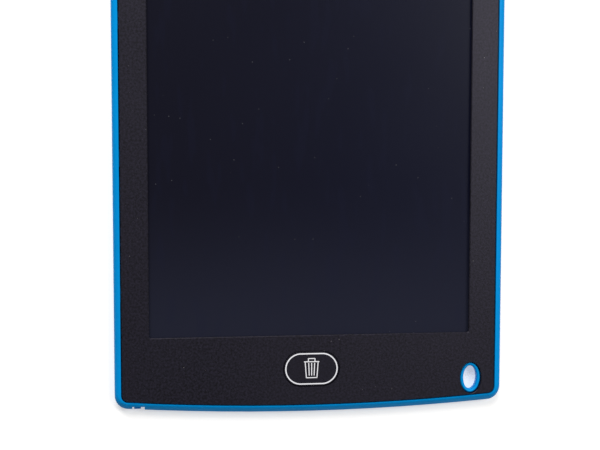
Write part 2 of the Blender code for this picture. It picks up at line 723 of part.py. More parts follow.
def channel_cuts():
    """The stylus's bore, its mouth along the back and the finger notch at the bottom edge."""
    start = STYLUS_END - CUT_OVERRUN
    end = STYLUS_TIP_END + CHANNEL_END_GAP
    bore = turned_along_y("channel bore", [(start, CHANNEL_RADIUS), (end, CHANNEL_RADIUS)], "shell blue")
    half = CHANNEL_MOUTH_WIDTH / 2
    outline = rectangle(STYLUS_X - half, STYLUS_X + half, start, end - CHANNEL_WALL)
    mouth = prism("channel mouth", outline, -CUT_OVERRUN, STYLUS_Z, "shell blue")
    left = STYLUS_X - STYLUS_TAIL_WIDTH / 2 - NOTCH_LEFT_GAP
    right = STYLUS_X + STYLUS_TAIL_WIDTH / 2 + NOTCH_RIGHT_GAP
    outline = rectangle(left, right, start - CUT_OVERRUN, STYLUS_END + NOTCH_DEPTH)
    notch = prism("notch", outline, -CUT_OVERRUN, BODY_THICKNESS + CUT_OVERRUN, "shell blue")
    return [bore, mouth, notch]


def board_screw_places():
    """The side and the place of each of the board's two screws."""
    y = from_bottom(BOARD_BOTTOM + BOARD_SCREW_UP)
    return (("left", BOARD_LEFT + BOARD_SCREW_INSET, y), ("right", BOARD_RIGHT - BOARD_SCREW_INSET, y))


def battery_additions():
    """The ledge round the door, the well of the cell and the boss of the door's screw."""
    low = SHELL_FLOOR / 2
    half_width = DOOR_WIDTH / 2 + SIDE_GAP + DOOR_CORNER_RADIUS / 2
    ledge = rounded_rectangle(
        DOOR_LEFT - DOOR_LEDGE_WIDTH,
        DOOR_RIGHT + DOOR_LEDGE_WIDTH,
        KEY_Y - half_width,
        KEY_Y + half_width,
        DOOR_CORNER_RADIUS,
    )
    well = circle(CELL_X, KEY_Y, CELL_WELL_RADIUS + CELL_WELL_WALL)
    boss = circle(DOOR_SCREW_X, KEY_Y, CUP_RADIUS + SIDE_GAP + DOOR_BOSS_WALL)
    return [
        prism("door ledge", ledge, low, LEDGE_FRONT, "shell blue"),
        prism("cell well", well, low, CELL_FRONT, "shell blue"),
        prism("door boss", boss, low, DOOR_BOSS_FRONT, "shell blue"),
    ]


def positive_leaf_x():
    """Where the positive contact's leaf stands beside the can."""
    near = CONTACT_OFFSET - CONTACT_WIDTH / 2
    return CELL_X - math.sqrt(CELL_RADIUS**2 - near**2) - SIDE_GAP - CONTACT_THICKNESS / 2


def contact_slot():
    """The gap in the cell's well that the positive contact reaches through."""
    half = CONTACT_WIDTH / 2 + SIDE_GAP
    y = KEY_Y + CONTACT_OFFSET
    left = CELL_X - CELL_WELL_RADIUS - CELL_WELL_WALL - SIDE_GAP
    outline = rectangle(left, CELL_X - CELL_RADIUS / 2, y - half, y + half)
    return prism("contact slot", outline, LEDGE_FRONT + NEST_GAP, CELL_FRONT + CUT_OVERRUN, "shell blue")


def battery_cuts():
    """The door's pocket, the cell's bore, and room for the cup, the screw and the tongues."""
    pocket = rounded_rectangle(
        DOOR_LEFT - SIDE_GAP,
        DOOR_RIGHT + SIDE_GAP,
        KEY_Y - DOOR_WIDTH / 2 - SIDE_GAP,
        KEY_Y + DOOR_WIDTH / 2 + SIDE_GAP,
        DOOR_CORNER_RADIUS + SIDE_GAP,
    )
    below = -CUT_OVERRUN
    cell = circle(CELL_X, KEY_Y, CELL_WELL_RADIUS)
    cup = circle(DOOR_SCREW_X, KEY_Y, CUP_RADIUS + SIDE_GAP)
    pilot = circle(DOOR_SCREW_X, KEY_Y, DOOR_SCREW_SHANK_RADIUS + REST_GAP, SMALL_CIRCLE_STEPS)
    cuts = [
        prism("door pocket", pocket, below, LEDGE_BACK, "shell blue"),
        prism("cell bore", cell, below, CELL_FRONT + CUT_OVERRUN, "shell blue"),
        prism("cup bore", cup, below, CUP_FRONT + REST_GAP, "shell blue"),
        prism("screw pilot", pilot, below, DOOR_SCREW_END + SIDE_GAP, "shell blue"),
        contact_slot(),
    ]
    swing = math.hypot(max(TONGUE_RISER, TONGUE_REACH), TONGUE_FRONT - DOOR_SINK) + SIDE_GAP
    left = DOOR_LEFT - TONGUE_REACH - SIDE_GAP
    half = TONGUE_WIDTH / 2 + SIDE_GAP
    for side in (-1, 1):
        y = KEY_Y + side * TONGUE_OFFSET
        outline = rectangle(left, DOOR_LEFT + swing, y - half, y + half)
        cuts.append(prism(f"tongue slot {side}", outline, SHELL_FLOOR, DOOR_SINK + swing, "shell blue"))
    return cuts


def slider_cuts():
    """The dish round the lock slider and the slot that it moves in."""
    length = SLIDER_PAD_LENGTH + SLIDER_TRAVEL + 2 * SIDE_GAP
    width = SLIDER_PAD_WIDTH + 2 * SIDE_GAP
    margin = 2 * SLIDER_DISH_MARGIN
    dish = stadium(SWITCH_X, SLIDER_Y, length + margin, width + margin)
    low = SLIDER_Y - width / 2
    slot = rectangle(SWITCH_X - length / 2, SWITCH_X + length / 2, low, low + width)
    return [
        prism("slider dish", dish, -CUT_OVERRUN, SLIDER_DISH_DEPTH, "shell blue"),
        prism("slider slot", slot, -CUT_OVERRUN, SHELL_FLOOR + CUT_OVERRUN, "shell blue"),
    ]


def make_shell():
    """The blue back shell, which carries everything."""
    shell = shell_tray()
    additions = shell_ribs() + clip_catches() + battery_additions() + [eye_collar(), channel_walls()]
    cuts = battery_cuts() + slider_cuts() + channel_cuts() + [eye_hole()]
    for side, x, y in board_screw_places():
        boss = circle(x, y, BOARD_SCREW_BOSS_RADIUS, SMALL_CIRCLE_STEPS)
        additions.append(prism(f"{side} boss", boss, SHELL_FLOOR / 2, BOARD_BACK - REST_GAP, "shell blue"))
        pilot = circle(x, y, BOARD_SCREW_SHANK_RADIUS + REST_GAP, SMALL_CIRCLE_STEPS)
        cuts.append(prism(f"{side} pilot", pilot, BOARD_SCREW_PILOT_FLOOR, BOARD_BACK, "shell blue"))
    join(shell, additions)
    cut(shell, cuts)


# Front panel


def window_outline(grow):
    """The screen window's outline, let out by a distance."""
    return rounded_rectangle(
        -SCREEN_HALF_WIDTH - grow,
        SCREEN_HALF_WIDTH + grow,
        from_bottom(BOTTOM_BORDER) - grow,
        from_bottom(SCREEN_TOP) + grow,
        WINDOW_CORNER_RADIUS + grow,
    )


def window_cutter():
    """The cutter of the screen window, which widens over the panel's front edge."""
    rings = [
        level(window_outline(0.0), PANEL_BACK - CUT_OVERRUN),
        level(window_outline(0.0), PANEL_FRONT - WINDOW_CHAMFER),
        level(window_outline(WINDOW_CHAMFER), PANEL_FRONT),
        level(window_outline(WINDOW_CHAMFER), PANEL_FRONT + CUT_OVERRUN),
    ]
    return solid("window", rings, "panel black")


def eye_window(low, high):
    """The cutter of the panel's hole over the eye's collar, with its front edge broken."""
    rings = []
    for grow, z in (
        (SIDE_GAP, low),
        (SIDE_GAP, PANEL_FRONT - PANEL_EDGE_BREAK),
        (SIDE_GAP + PANEL_EDGE_BREAK, PANEL_FRONT),
        (SIDE_GAP + PANEL_EDGE_BREAK, high),
    ):
        outline = ellipse(EYE_X, EYE_Y, EYE_COLLAR_HALF_WIDTH + grow, EYE_COLLAR_HALF_LENGTH + grow)
        rings.append(level(outline, z))
    return solid("eye window", rings, "panel black")


def make_panel():
    """The black panel round the screen, with its clips."""
    side = SIDE_RIM_WIDTH + SIDE_GAP
    bottom = BOTTOM_RIM_WIDTH + SIDE_GAP
    rings = [
        level(body_outline(side, bottom), PANEL_BACK),
        level(body_outline(side, bottom), PANEL_FRONT - PANEL_EDGE_BREAK),
        level(body_outline(side + PANEL_EDGE_BREAK, bottom + PANEL_EDGE_BREAK), PANEL_FRONT),
    ]
    panel = solid("front_panel", rings, "panel black")
    join(panel, clip_arms())
    key = stadium(0.0, KEY_Y, KEY_LENGTH + 2 * SIDE_GAP, KEY_WIDTH + 2 * SIDE_GAP)
    low = PANEL_BACK - CUT_OVERRUN
    high = PANEL_FRONT + CUT_OVERRUN
    key_hole = prism("key hole", key, low, high, "panel black")
    cut(panel, [window_cutter(), key_hole, eye_window(low, high)])


# Screen stack


def make_screen():
    """The tape frame, the two sheets and the plate behind them."""
    outer = rounded_rectangle(
        -SHEET_HALF_WIDTH,
        SHEET_HALF_WIDTH,
        from_bottom(SHEET_BOTTOM),
        from_bottom(SHEET_TOP),
        WINDOW_CORNER_RADIUS,
    )
    inner = window_outline(REST_GAP)
    tape_front = TAPE_BACK + TAPE_THICKNESS
    rings = [
        level(outer, TAPE_BACK),
        level(outer, tape_front),
        level(inner, tape_front),
        level(inner, TAPE_BACK),
    ]
    solid("screen_tape", rings, "tape grey", closed=True)
    prism("front_sheet", outer, FRONT_SHEET_BACK, FRONT_SHEET_BACK + SHEET_THICKNESS, "screen dark")
    rear_front = REAR_SHEET_BACK + SHEET_THICKNESS
    rear = prism("rear_sheet", outer, REAR_SHEET_BACK, rear_front, "screen dark")
    half = ELECTRODE_TAB_WIDTH / 2
    edge = from_bottom(SHEET_BOTTOM)
    tab = rectangle(RIBBON_X - half, RIBBON_X + half, edge - ELECTRODE_TAB_LENGTH, edge + SHEET_MARGIN)
    join(rear, [prism("electrode tab", tab, REAR_SHEET_BACK, rear_front, "screen dark")])
    prism("backing_plate", outer, BACKING_BACK, BACKING_BACK + BACKING_THICKNESS, "backing grey")


# Erase key and its switch


def make_key():
    """The erase key with the flange that keeps it under the panel."""
    flange = stadium(0.0, KEY_Y, KEY_LENGTH + 2 * KEY_FLANGE_WIDTH, KEY_WIDTH + 2 * KEY_FLANGE_WIDTH)
    face = stadium(0.0, KEY_Y, KEY_LENGTH, KEY_WIDTH)
    broken = stadium(0.0, KEY_Y, KEY_LENGTH - 2 * KEY_EDGE_BREAK, KEY_WIDTH - 2 * KEY_EDGE_BREAK)
    rings = [
        level(flange, KEY_BACK),
        level(flange, KEY_FLANGE_FRONT),
        level(face, KEY_FLANGE_FRONT),
        level(face, KEY_FRONT - KEY_EDGE_BREAK),
        level(broken, KEY_FRONT),
    ]
    smooth(solid("erase_key", rings, "key black", (0.0, KEY_Y, KEY_BACK)))


def make_tact_switch():
    """The erase switch: its base, its snap dome and the plunger that the key pushes."""
    half = TACT_BASE_SIDE / 2
    outline = rectangle(-half, half, KEY_Y - half, KEY_Y + half)
    base = prism("tact_base", outline, PARTS_BACK, TACT_TOP, "chip black")
    well_floor = PARTS_BACK + TACT_BASE_FLOOR
    well = circle(0.0, KEY_Y, TACT_WELL_RADIUS, SMALL_CIRCLE_STEPS)
    cut(base, [prism("tact well", well, well_floor, TACT_TOP + CUT_OVERRUN, "chip black")])
    dome_back = well_floor + NEST_GAP
    shoulder = dome_back + TACT_DOME_EDGE
    dome_top = shoulder + TACT_DOME_RISE
    profile = [
        (dome_back, TACT_DOME_RADIUS),
        (shoulder, TACT_DOME_RADIUS),
        (dome_top, TACT_DOME_RADIUS / 2),
    ]
    turned("tact_dome", 0.0, KEY_Y, profile, "spring steel")
    foot = dome_top + KEY_TRAVEL + NEST_GAP
    profile = [(foot, TACT_PLUNGER_RADIUS), (KEY_BACK - NEST_GAP, TACT_PLUNGER_RADIUS)]
    turned("tact_plunger", 0.0, KEY_Y, profile, "connector cream", (0.0, KEY_Y, foot))


# Circuit board and what stands on it


def slotted_screw(name, x, y, profile, head_end, into, origin=NO_OFFSET):
    """A turned screw whose head has a slot. The slot is cut from the head's end inwards."""
    screw = turned(name, x, y, profile, "nickel", origin)
    reach = max(radius for _, radius in profile) + CUT_OVERRUN
    half = SCREW_SLOT_WIDTH / 2
    low, high = sorted((head_end - into * CUT_OVERRUN, head_end + into * SCREW_SLOT_DEPTH))
    slot = rectangle(x - reach, x + reach, y - half, y + half)
    cut(screw, [prism(f"{name} slot", slot, low, high, "nickel")])


def make_board():
    """The circuit board with its screws and small parts."""
    bottom = from_bottom(BOARD_BOTTOM)
    top = from_bottom(BOARD_TOP)
    outline = rounded_rectangle(BOARD_LEFT, BOARD_RIGHT, bottom, top, BOARD_CORNER_RADIUS)
    board = prism("circuit_board", outline, BOARD_BACK, BOARD_FRONT, "board green")
    low = BOARD_BACK - CUT_OVERRUN
    high = BOARD_FRONT + CUT_OVERRUN
    reach = LEVER_LENGTH / 2 + SIDE_GAP + PRONG_LENGTH + SIDE_GAP
    depth = PRONG_DEPTH / 2 + SIDE_GAP
    window = rectangle(
        SLIDER_X - reach, SLIDER_X + SLIDER_TRAVEL + reach, SLIDER_Y - depth, SLIDER_Y + depth
    )
    holes = [prism("prong window", window, low, high, "board green")]
    seat = BOARD_FRONT + REST_GAP
    head_top = seat + BOARD_SCREW_HEAD_HEIGHT
    for side, x, y in board_screw_places():
        hole = circle(x, y, BOARD_SCREW_SHANK_RADIUS + REST_GAP, SMALL_CIRCLE_STEPS)
        holes.append(prism(f"{side} screw hole", hole, low, high, "board green"))
        profile = [
            (BOARD_SCREW_PILOT_FLOOR + REST_GAP, BOARD_SCREW_SHANK_RADIUS),
            (seat, BOARD_SCREW_SHANK_RADIUS),
            (seat, BOARD_SCREW_HEAD_RADIUS),
            (head_top, BOARD_SCREW_HEAD_RADIUS),
        ]
        slotted_screw(f"board_screw_{side}", x, y, profile, head_top, -1)
    cut(board, holes)
    for name, (size, material_name) in BOARD_PARTS.items():
        share_x, share_y = BOARD_PART_SHARES[name]
        x = BOARD_LEFT + (BOARD_RIGHT - BOARD_LEFT) * share_x
        y = bottom + (top - bottom) * share_y
        outline = rectangle(x - size[0] / 2, x + size[0] / 2, y - size[1] / 2, y + size[1] / 2)
        prism(name, outline, PARTS_BACK, PARTS_BACK + size[2], material_name)


# Ribbon and its connector


def make_ribbon():
    """The ribbon that is bonded to the rear sheet's tab and runs into the connector."""
    upper_z = REAR_SHEET_BACK + SHEET_THICKNESS + NEST_GAP + RIBBON_THICKNESS / 2
    lower_z = PARTS_BACK + CONNECTOR_HEIGHT / 2
    tab_end = from_bottom(SHEET_BOTTOM) - ELECTRODE_TAB_LENGTH
    mouth = from_bottom(CONNECTOR_UP) + CONNECTOR_DEPTH / 2
    path = [
        (tab_end + RIBBON_BOND_LENGTH, upper_z),
        (tab_end - RIBBON_BEND_LENGTH / 2, upper_z),
        (mouth + RIBBON_BEND_LENGTH, lower_z),
        (mouth - CONNECTOR_SLOT_DEPTH + SIDE_GAP, lower_z),
    ]
    half = RIBBON_WIDTH / 2
    section = thick_line(path, RIBBON_THICKNESS)
    rings = [[(x, y, z) for y, z in section] for x in (RIBBON_X - half, RIBBON_X + half)]
    solid("screen_ribbon", rings, "ribbon amber")


def make_connector():
    """The ribbon's connector and the latch bar in its back edge."""
    middle = PARTS_BACK + CONNECTOR_HEIGHT / 2
    top = PARTS_BACK + CONNECTOR_HEIGHT
    mouth = from_bottom(CONNECTOR_UP) + CONNECTOR_DEPTH / 2
    back = mouth - CONNECTOR_DEPTH
    half = CONNECTOR_WIDTH / 2
    outline = rectangle(RIBBON_X - half, RIBBON_X + half, back, mouth)
    body = prism("ribbon_connector", outline, PARTS_BACK, top, "connector cream")
    half -= CONNECTOR_SIDE_WALL
    slot = rectangle(RIBBON_X - half, RIBBON_X + half, mouth - CONNECTOR_SLOT_DEPTH, mouth + CUT_OVERRUN)
    reach = RIBBON_THICKNESS / 2 + NEST_GAP
    seat = rectangle(RIBBON_X - half, RIBBON_X + half, back - CUT_OVERRUN, back + LATCH_DEPTH + NEST_GAP)
    seat_floor = top - LATCH_THICKNESS - NEST_GAP
    cut(body, [
        prism("ribbon slot", slot, middle - reach, middle + reach, "connector cream"),
        prism("latch seat", seat, seat_floor, top + CUT_OVERRUN, "connector cream"),
    ])
    half -= NEST_GAP
    latch = rectangle(RIBBON_X - half, RIBBON_X + half, back, back + LATCH_DEPTH)
    prism("ribbon_latch", latch, top - LATCH_THICKNESS, top, "chip black")


# Lock slider and its switch


def slider_block(name, reach_x, reach_y, low, high, origin=NO_OFFSET):
    """A block of the slider, centred on it."""
    outline = rectangle(SLIDER_X - reach_x, SLIDER_X + reach_x, SLIDER_Y - reach_y, SLIDER_Y + reach_y)
    return prism(name, outline, low, high, "panel black", origin)


def make_slider():
    """The lock slider: a ridged pad, the flange behind it and two prongs round the lever."""
    half_length = SLIDER_PAD_LENGTH / 2
    half_width = SLIDER_PAD_WIDTH / 2
    flange_back = SHELL_FLOOR + REST_GAP
    flange_front = flange_back + SLIDER_FLANGE_THICKNESS
    origin = (SLIDER_X, SLIDER_Y, SLIDER_SINK)
    slider = slider_block("lock_slider", half_length, half_width, SLIDER_SINK, flange_front, origin)
    margin = SIDE_GAP + SLIDER_FLANGE_MARGIN
    reach_x = half_length + SLIDER_TRAVEL + margin
    additions = [slider_block("slider flange", reach_x, half_width + margin, flange_back, flange_front)]
    near = LEVER_LENGTH / 2 + NEST_GAP
    prong_top = LEVER_Z + LEVER_THICKNESS / 2
    for side in (-1, 1):
        left, right = sorted((SLIDER_X + side * near, SLIDER_X + side * (near + PRONG_LENGTH)))
        prong = rectangle(left, right, SLIDER_Y - PRONG_DEPTH / 2, SLIDER_Y + PRONG_DEPTH / 2)
        additions.append(prism(f"prong {side}", prong, flange_back + NEST_GAP, prong_top, "panel black"))
    join(slider, additions)
    grooves = []
    pitch = SLIDER_PAD_LENGTH / (SLIDER_GROOVE_COUNT + 1)
    half = SLIDER_GROOVE_WIDTH / 2
    for i in range(SLIDER_GROOVE_COUNT):
        x = SLIDER_X - half_length + pitch * (i + 1)
        groove = rectangle(x - half, x + half, SLIDER_Y - SLIDER_PAD_WIDTH, SLIDER_Y + SLIDER_PAD_WIDTH)
        depth = SLIDER_SINK + SLIDER_GROOVE_DEPTH
        grooves.append(prism(f"groove {i}", groove, -CUT_OVERRUN, depth, "panel black"))
    cut(slider, grooves)


def make_lock_switch():
    """The slide switch on the board and its lever, which the slider's prongs carry along."""
    half = SWITCH_LENGTH / 2
    outline = rectangle(SWITCH_X - half, SWITCH_X + half, SWITCH_FACE, SWITCH_FACE + SWITCH_WIDTH)
    body = prism("lock_switch_body", outline, PARTS_BACK, PARTS_BACK + SWITCH_HEIGHT, "chip black")
    half = LEVER_LENGTH / 2
    slot = rectangle(
        SLIDER_X - half - SIDE_GAP,
        SLIDER_X + SLIDER_TRAVEL + half + SIDE_GAP,
        SWITCH_FACE - CUT_OVERRUN,
        SWITCH_FACE + LEVER_ROOT + SIDE_GAP,
    )
    reach = LEVER_THICKNESS / 2 + NEST_GAP
    cut(body, [prism("lever slot", slot, LEVER_Z - reach, LEVER_Z + reach, "chip black")])
    lever = rectangle(SLIDER_X - half, SLIDER_X + half, SWITCH_FACE - LEVER_REACH, SWITCH_FACE + LEVER_ROOT)
    low = LEVER_Z - LEVER_THICKNESS / 2
    origin = (SLIDER_X, SLIDER_Y, LEVER_Z)
    prism("lock_switch_lever", lever, low, low + LEVER_THICKNESS, "connector cream", origin)


# Battery


def cell_rings(profile):
    """Circles about the cell's axis. The profile gives a height and a radius a ring."""
    return [level(circle(CELL_X, KEY_Y, radius), z) for z, radius in profile]


def make_cell():
    """The coin cell: its can, the cap that faces the board and the gasket between them."""
    can_inner = CELL_RADIUS - CELL_WALL
    can_floor = CELL_BACK + CELL_WALL
    can_rim = CELL_FRONT - CELL_CAN_SETBACK
    profile = [(CELL_BACK, CELL_RADIUS), (can_rim, CELL_RADIUS), (can_rim, can_inner), (can_floor, can_inner)]
    smooth(solid("cell_can", cell_rings(profile), "nickel"))
    low = can_floor + NEST_GAP
    outer = can_inner - NEST_GAP
    inner = outer - CELL_GASKET_THICKNESS
    profile = [(low, outer), (can_rim, outer), (can_rim, inner), (low, inner)]
    smooth(solid("cell_gasket", cell_rings(profile), "gasket grey", closed=True))
    cap = inner - NEST_GAP
    profile = [(low, cap), (can_rim, cap), (CELL_FRONT, cap - CELL_CAN_SETBACK)]
    smooth(solid("cell_cap", cell_rings(profile), "nickel"))


def contact_strip(name, path, y):
    """A bent contact: a line in X and Z, given its thickness and its width."""
    section = thick_line(path, CONTACT_THICKNESS)
    half = CONTACT_WIDTH / 2
    rings = [[(x, end, z) for x, z in section] for end in (y - half, y + half)]
    solid(name, rings, "spring steel")


def make_contacts():
    """The two spring contacts that run from the board to the cell."""
    start = BOARD_RIGHT - CONTACT_BOARD_OVERLAP
    foot_z = PARTS_BACK + CONTACT_THICKNESS / 2
    leaf_z = LEAF_BACK + CONTACT_THICKNESS / 2
    wall = CELL_X - CELL_WELL_RADIUS - CELL_WELL_WALL
    path = [
        (start, foot_z),
        (wall - 2 * CONTACT_RISE_LENGTH, foot_z),
        (wall - CONTACT_RISE_LENGTH, leaf_z),
        (wall + CONTACT_FLAT_LENGTH, leaf_z),
    ]
    contact_strip("contact_negative", path, KEY_Y - CONTACT_OFFSET)
    leaf_x = positive_leaf_x()
    path = [(start, foot_z), (leaf_x, foot_z), (leaf_x, LEDGE_FRONT + REST_GAP)]
    contact_strip("contact_positive", path, KEY_Y + CONTACT_OFFSET)


def door_tongues():
    """The two hooks on the door's left edge."""
    middle = DOOR_SINK + DOOR_THICKNESS / 2
    profile = [
        (DOOR_LEFT, middle),
        (DOOR_LEFT + TONGUE_RISER, middle),
        (DOOR_LEFT + TONGUE_RISER, TONGUE_FRONT),
        (DOOR_LEFT - TONGUE_REACH, TONGUE_FRONT),
        (DOOR_LEFT - TONGUE_REACH, TONGUE_BACK),
        (DOOR_LEFT, TONGUE_BACK),
    ]
    half = TONGUE_WIDTH / 2
    tongues = []
    for side in (-1, 1):
        y = KEY_Y + side * TONGUE_OFFSET
        rings = [[(x, end, z) for x, z in profile] for end in (y - half, y + half)]
        tongues.append(solid(f"tongue {side}", rings, "shell blue"))
    return tongues


def make_door():
    """The battery door with its tongues and cup, and the captive screw."""
    low = KEY_Y - DOOR_WIDTH / 2
    outline = rounded_rectangle(DOOR_LEFT, DOOR_RIGHT, low, low + DOOR_WIDTH, DOOR_CORNER_RADIUS)
    door = prism("battery_door", outline, DOOR_SINK, DOOR_FRONT, "shell blue", DOOR_AXIS)
    cup = circle(DOOR_SCREW_X, KEY_Y, CUP_RADIUS)
    join(door, door_tongues() + [prism("cup", cup, DOOR_SINK + DOOR_THICKNESS / 2, CUP_FRONT, "shell blue")])
    bore = circle(DOOR_SCREW_X, KEY_Y, CUP_BORE_RADIUS)
    hole = circle(DOOR_SCREW_X, KEY_Y, DOOR_SCREW_SHANK_RADIUS + REST_GAP, SMALL_CIRCLE_STEPS)
    cut(door, [
        prism("head bore", bore, -CUT_OVERRUN, DOOR_SCREW_SEAT + REST_GAP, "shell blue"),
        prism("shank hole", hole, DOOR_SINK, CUP_FRONT + CUT_OVERRUN, "shell blue"),
    ])
    profile = [
        (DOOR_SCREW_HEAD_SINK, DOOR_SCREW_HEAD_RADIUS),
        (DOOR_SCREW_SEAT, DOOR_SCREW_HEAD_RADIUS),
        (DOOR_SCREW_SEAT, DOOR_SCREW_SHANK_RADIUS),
        (DOOR_SCREW_END, DOOR_SCREW_SHANK_RADIUS),
    ]
    slotted_screw("battery_door_screw", DOOR_SCREW_X, KEY_Y, profile, DOOR_SCREW_HEAD_SINK, 1, DOOR_AXIS)


# Stylus


def make_barrel(nose_end, origin):
    """The stylus barrel, with a flat tail at one end and a bore for the tip's peg at the other."""
    shoulder = STYLUS_END + STYLUS_TAIL_LENGTH
    profile = [
        (shoulder, STYLUS_NOSE_RADIUS),
        (shoulder + STYLUS_SHOULDER, STYLUS_RADIUS),
        (nose_end - STYLUS_NOSE_LENGTH, STYLUS_RADIUS),
        (nose_end, STYLUS_NOSE_RADIUS),
    ]
    barrel = turned_along_y("stylus_barrel", profile, "stylus blue", origin)
    half = STYLUS_TAIL_WIDTH / 2
    outline = rectangle(STYLUS_X - half, STYLUS_X + half, STYLUS_END, shoulder + 2 * STYLUS_SHOULDER)
    low = STYLUS_Z - STYLUS_TAIL_THICKNESS / 2
    join(barrel, [prism("tail", outline, low, low + STYLUS_TAIL_THICKNESS, "stylus blue")])
    bore_radius = STYLUS_PEG_RADIUS + NEST_GAP
    depth = STYLUS_PEG_LENGTH + REST_GAP
    profile = [(nose_end - depth, bore_radius), (nose_end + CUT_OVERRUN, bore_radius)]
    cut(barrel, [turned_along_y("peg bore", profile, "stylus blue")])


def make_tip(nose_end, origin):
    """The writing tip: a peg, a cone and a round end."""
    start = nose_end + REST_GAP
    round_start = STYLUS_TIP_END - STYLUS_TIP_END_RADIUS
    profile = [
        (nose_end - STYLUS_PEG_LENGTH, STYLUS_PEG_RADIUS),
        (start, STYLUS_PEG_RADIUS),
        (start, STYLUS_TIP_RADIUS),
    ]
    for turn in quarter_turns()[:-1]:
        y = round_start + STYLUS_TIP_END_RADIUS * math.sin(turn)
        profile.append((y, STYLUS_TIP_END_RADIUS * math.cos(turn)))
    turned_along_y("stylus_tip", profile, "tip black", origin)


def make_stylus():
    """The stylus in its channel. It is drawn out along -Y."""
    origin = (STYLUS_X, STYLUS_END, STYLUS_Z)
    nose_end = STYLUS_TIP_END - STYLUS_TIP_LENGTH - REST_GAP
    make_barrel(nose_end, origin)
    make_tip(nose_end, origin)


clear_scene()
make_shell()
make_panel()
make_screen()
make_key()
make_tact_switch()
make_board()
make_ribbon()
make_connector()
make_slider()
make_lock_switch()
make_cell()
make_contacts()
make_door()
make_stylus()
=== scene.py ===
"""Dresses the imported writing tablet: finishes, printed marks, small fittings and a studio.

+X is to the right, +Y runs towards the top of the screen and +Z comes out of the screen.
Lengths are in metres. Small ones are written in millimetres times MM.
"""

from __future__ import annotations

import json
import logging
import math
from dataclasses import dataclass
from enum import Enum
from typing import Callable, Sequence, Union

import bmesh
import bpy
from mathutils import Matrix, Vector

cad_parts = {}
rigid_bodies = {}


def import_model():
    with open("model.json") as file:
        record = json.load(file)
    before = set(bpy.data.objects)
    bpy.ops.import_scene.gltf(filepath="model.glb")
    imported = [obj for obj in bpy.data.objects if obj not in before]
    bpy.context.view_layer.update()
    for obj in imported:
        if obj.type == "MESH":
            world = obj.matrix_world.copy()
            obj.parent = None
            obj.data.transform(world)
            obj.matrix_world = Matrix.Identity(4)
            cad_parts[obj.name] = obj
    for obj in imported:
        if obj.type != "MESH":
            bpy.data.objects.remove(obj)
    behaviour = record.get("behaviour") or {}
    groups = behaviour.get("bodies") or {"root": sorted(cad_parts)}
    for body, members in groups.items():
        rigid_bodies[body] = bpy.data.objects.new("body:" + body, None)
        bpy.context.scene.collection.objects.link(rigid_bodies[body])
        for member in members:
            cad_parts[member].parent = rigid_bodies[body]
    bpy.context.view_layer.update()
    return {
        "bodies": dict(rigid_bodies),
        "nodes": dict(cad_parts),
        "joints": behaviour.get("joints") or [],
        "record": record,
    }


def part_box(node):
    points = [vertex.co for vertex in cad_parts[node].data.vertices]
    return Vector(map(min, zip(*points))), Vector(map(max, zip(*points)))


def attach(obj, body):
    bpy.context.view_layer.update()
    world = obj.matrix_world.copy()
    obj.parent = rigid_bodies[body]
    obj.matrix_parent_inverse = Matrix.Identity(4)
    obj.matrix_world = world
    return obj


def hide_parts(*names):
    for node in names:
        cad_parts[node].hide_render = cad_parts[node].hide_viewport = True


LOG = logging.getLogger("tablet")
MM = 0.001
WELD_DISTANCE = 1e-7
SMOOTH_ANGLE = math.radians(32.0)
EDGE_WEIGHT = 90
PLASTIC_IOR = 1.5
FLAT_FROM = 0.5
PRINT_THICKNESS = 0.014 * MM
PRINT_SINK = 0.004 * MM

Triple = tuple[float, float, float]
Colour = Triple
Spot = tuple[float, float]


class Side(Enum):
    """The face of the tablet that a flat mark is printed on."""

    FRONT = 1
    BACK = -1


class Element(Enum):
    """The parts of a mesh that can be chosen in edit mode."""

    VERTEX = "VERT"
    EDGE = "EDGE"
    FACE = "FACE"


# Shader maths


class Signal:
    """A shader socket that Python arithmetic extends with Math nodes."""

    def __init__(self, shader: Shader, socket: bpy.types.NodeSocket) -> None:
        """Wraps a socket.

        Args:
            shader: The material that the socket belongs to.
            socket: The output socket.
        """
        self.shader = shader
        self.socket = socket

    def _math(self, operation: str, *values: Value) -> Signal:
        """A Math node of that operation on the values."""
        return self.shader.node("ShaderNodeMath", {"operation": operation}, dict(enumerate(values)))

    def __add__(self, other: Value) -> Signal:
        """Adds."""
        return self._math("ADD", self, other)

    __radd__ = __add__

    def __sub__(self, other: Value) -> Signal:
        """Subtracts."""
        return self._math("SUBTRACT", self, other)

    def __rsub__(self, other: Value) -> Signal:
        """Is subtracted."""
        return self._math("SUBTRACT", other, self)

    def __mul__(self, other: Value) -> Signal:
        """Multiplies."""
        return self._math("MULTIPLY", self, other)

    __rmul__ = __mul__

    def __truediv__(self, other: Value) -> Signal:
        """Divides."""
        return self._math("DIVIDE", self, other)

    def __abs__(self) -> Signal:
        """The size without its sign."""
        return self._math("ABSOLUTE", self)

    def above(self, edge: float) -> Signal:
        """1 where the value is above the edge, and 0 elsewhere."""
        return self._math("GREATER_THAN", self, edge)

    def below(self, edge: float) -> Signal:
        """1 where the value is below the edge, and 0 elsewhere."""
        return self._math("LESS_THAN", self, edge)

    def root(self) -> Signal:
        """The square root."""
        return self._math("SQRT", self)

    def most(self, other: Value) -> Signal:
        """The larger of two values."""
        return self._math("MAXIMUM", self, other)

    def swing(self, reach: float) -> Signal:
        """Turns noise, which runs about one half, into an offset that runs about zero."""
        return (self - 0.5) * reach

    def ramp(self, low: float, high: float) -> Signal:
        """Runs smoothly from 0 at one value to 1 at the other.

        Args:
            low: The value that gives 0.
            high: The value that gives 1.

        Returns:
            The eased signal.
        """
        settings = {"interpolation_type": "SMOOTHSTEP"}
        return self.shader.node("ShaderNodeMapRange", settings, {0: self, 1: low, 2: high})


Value = Union[Signal, float]


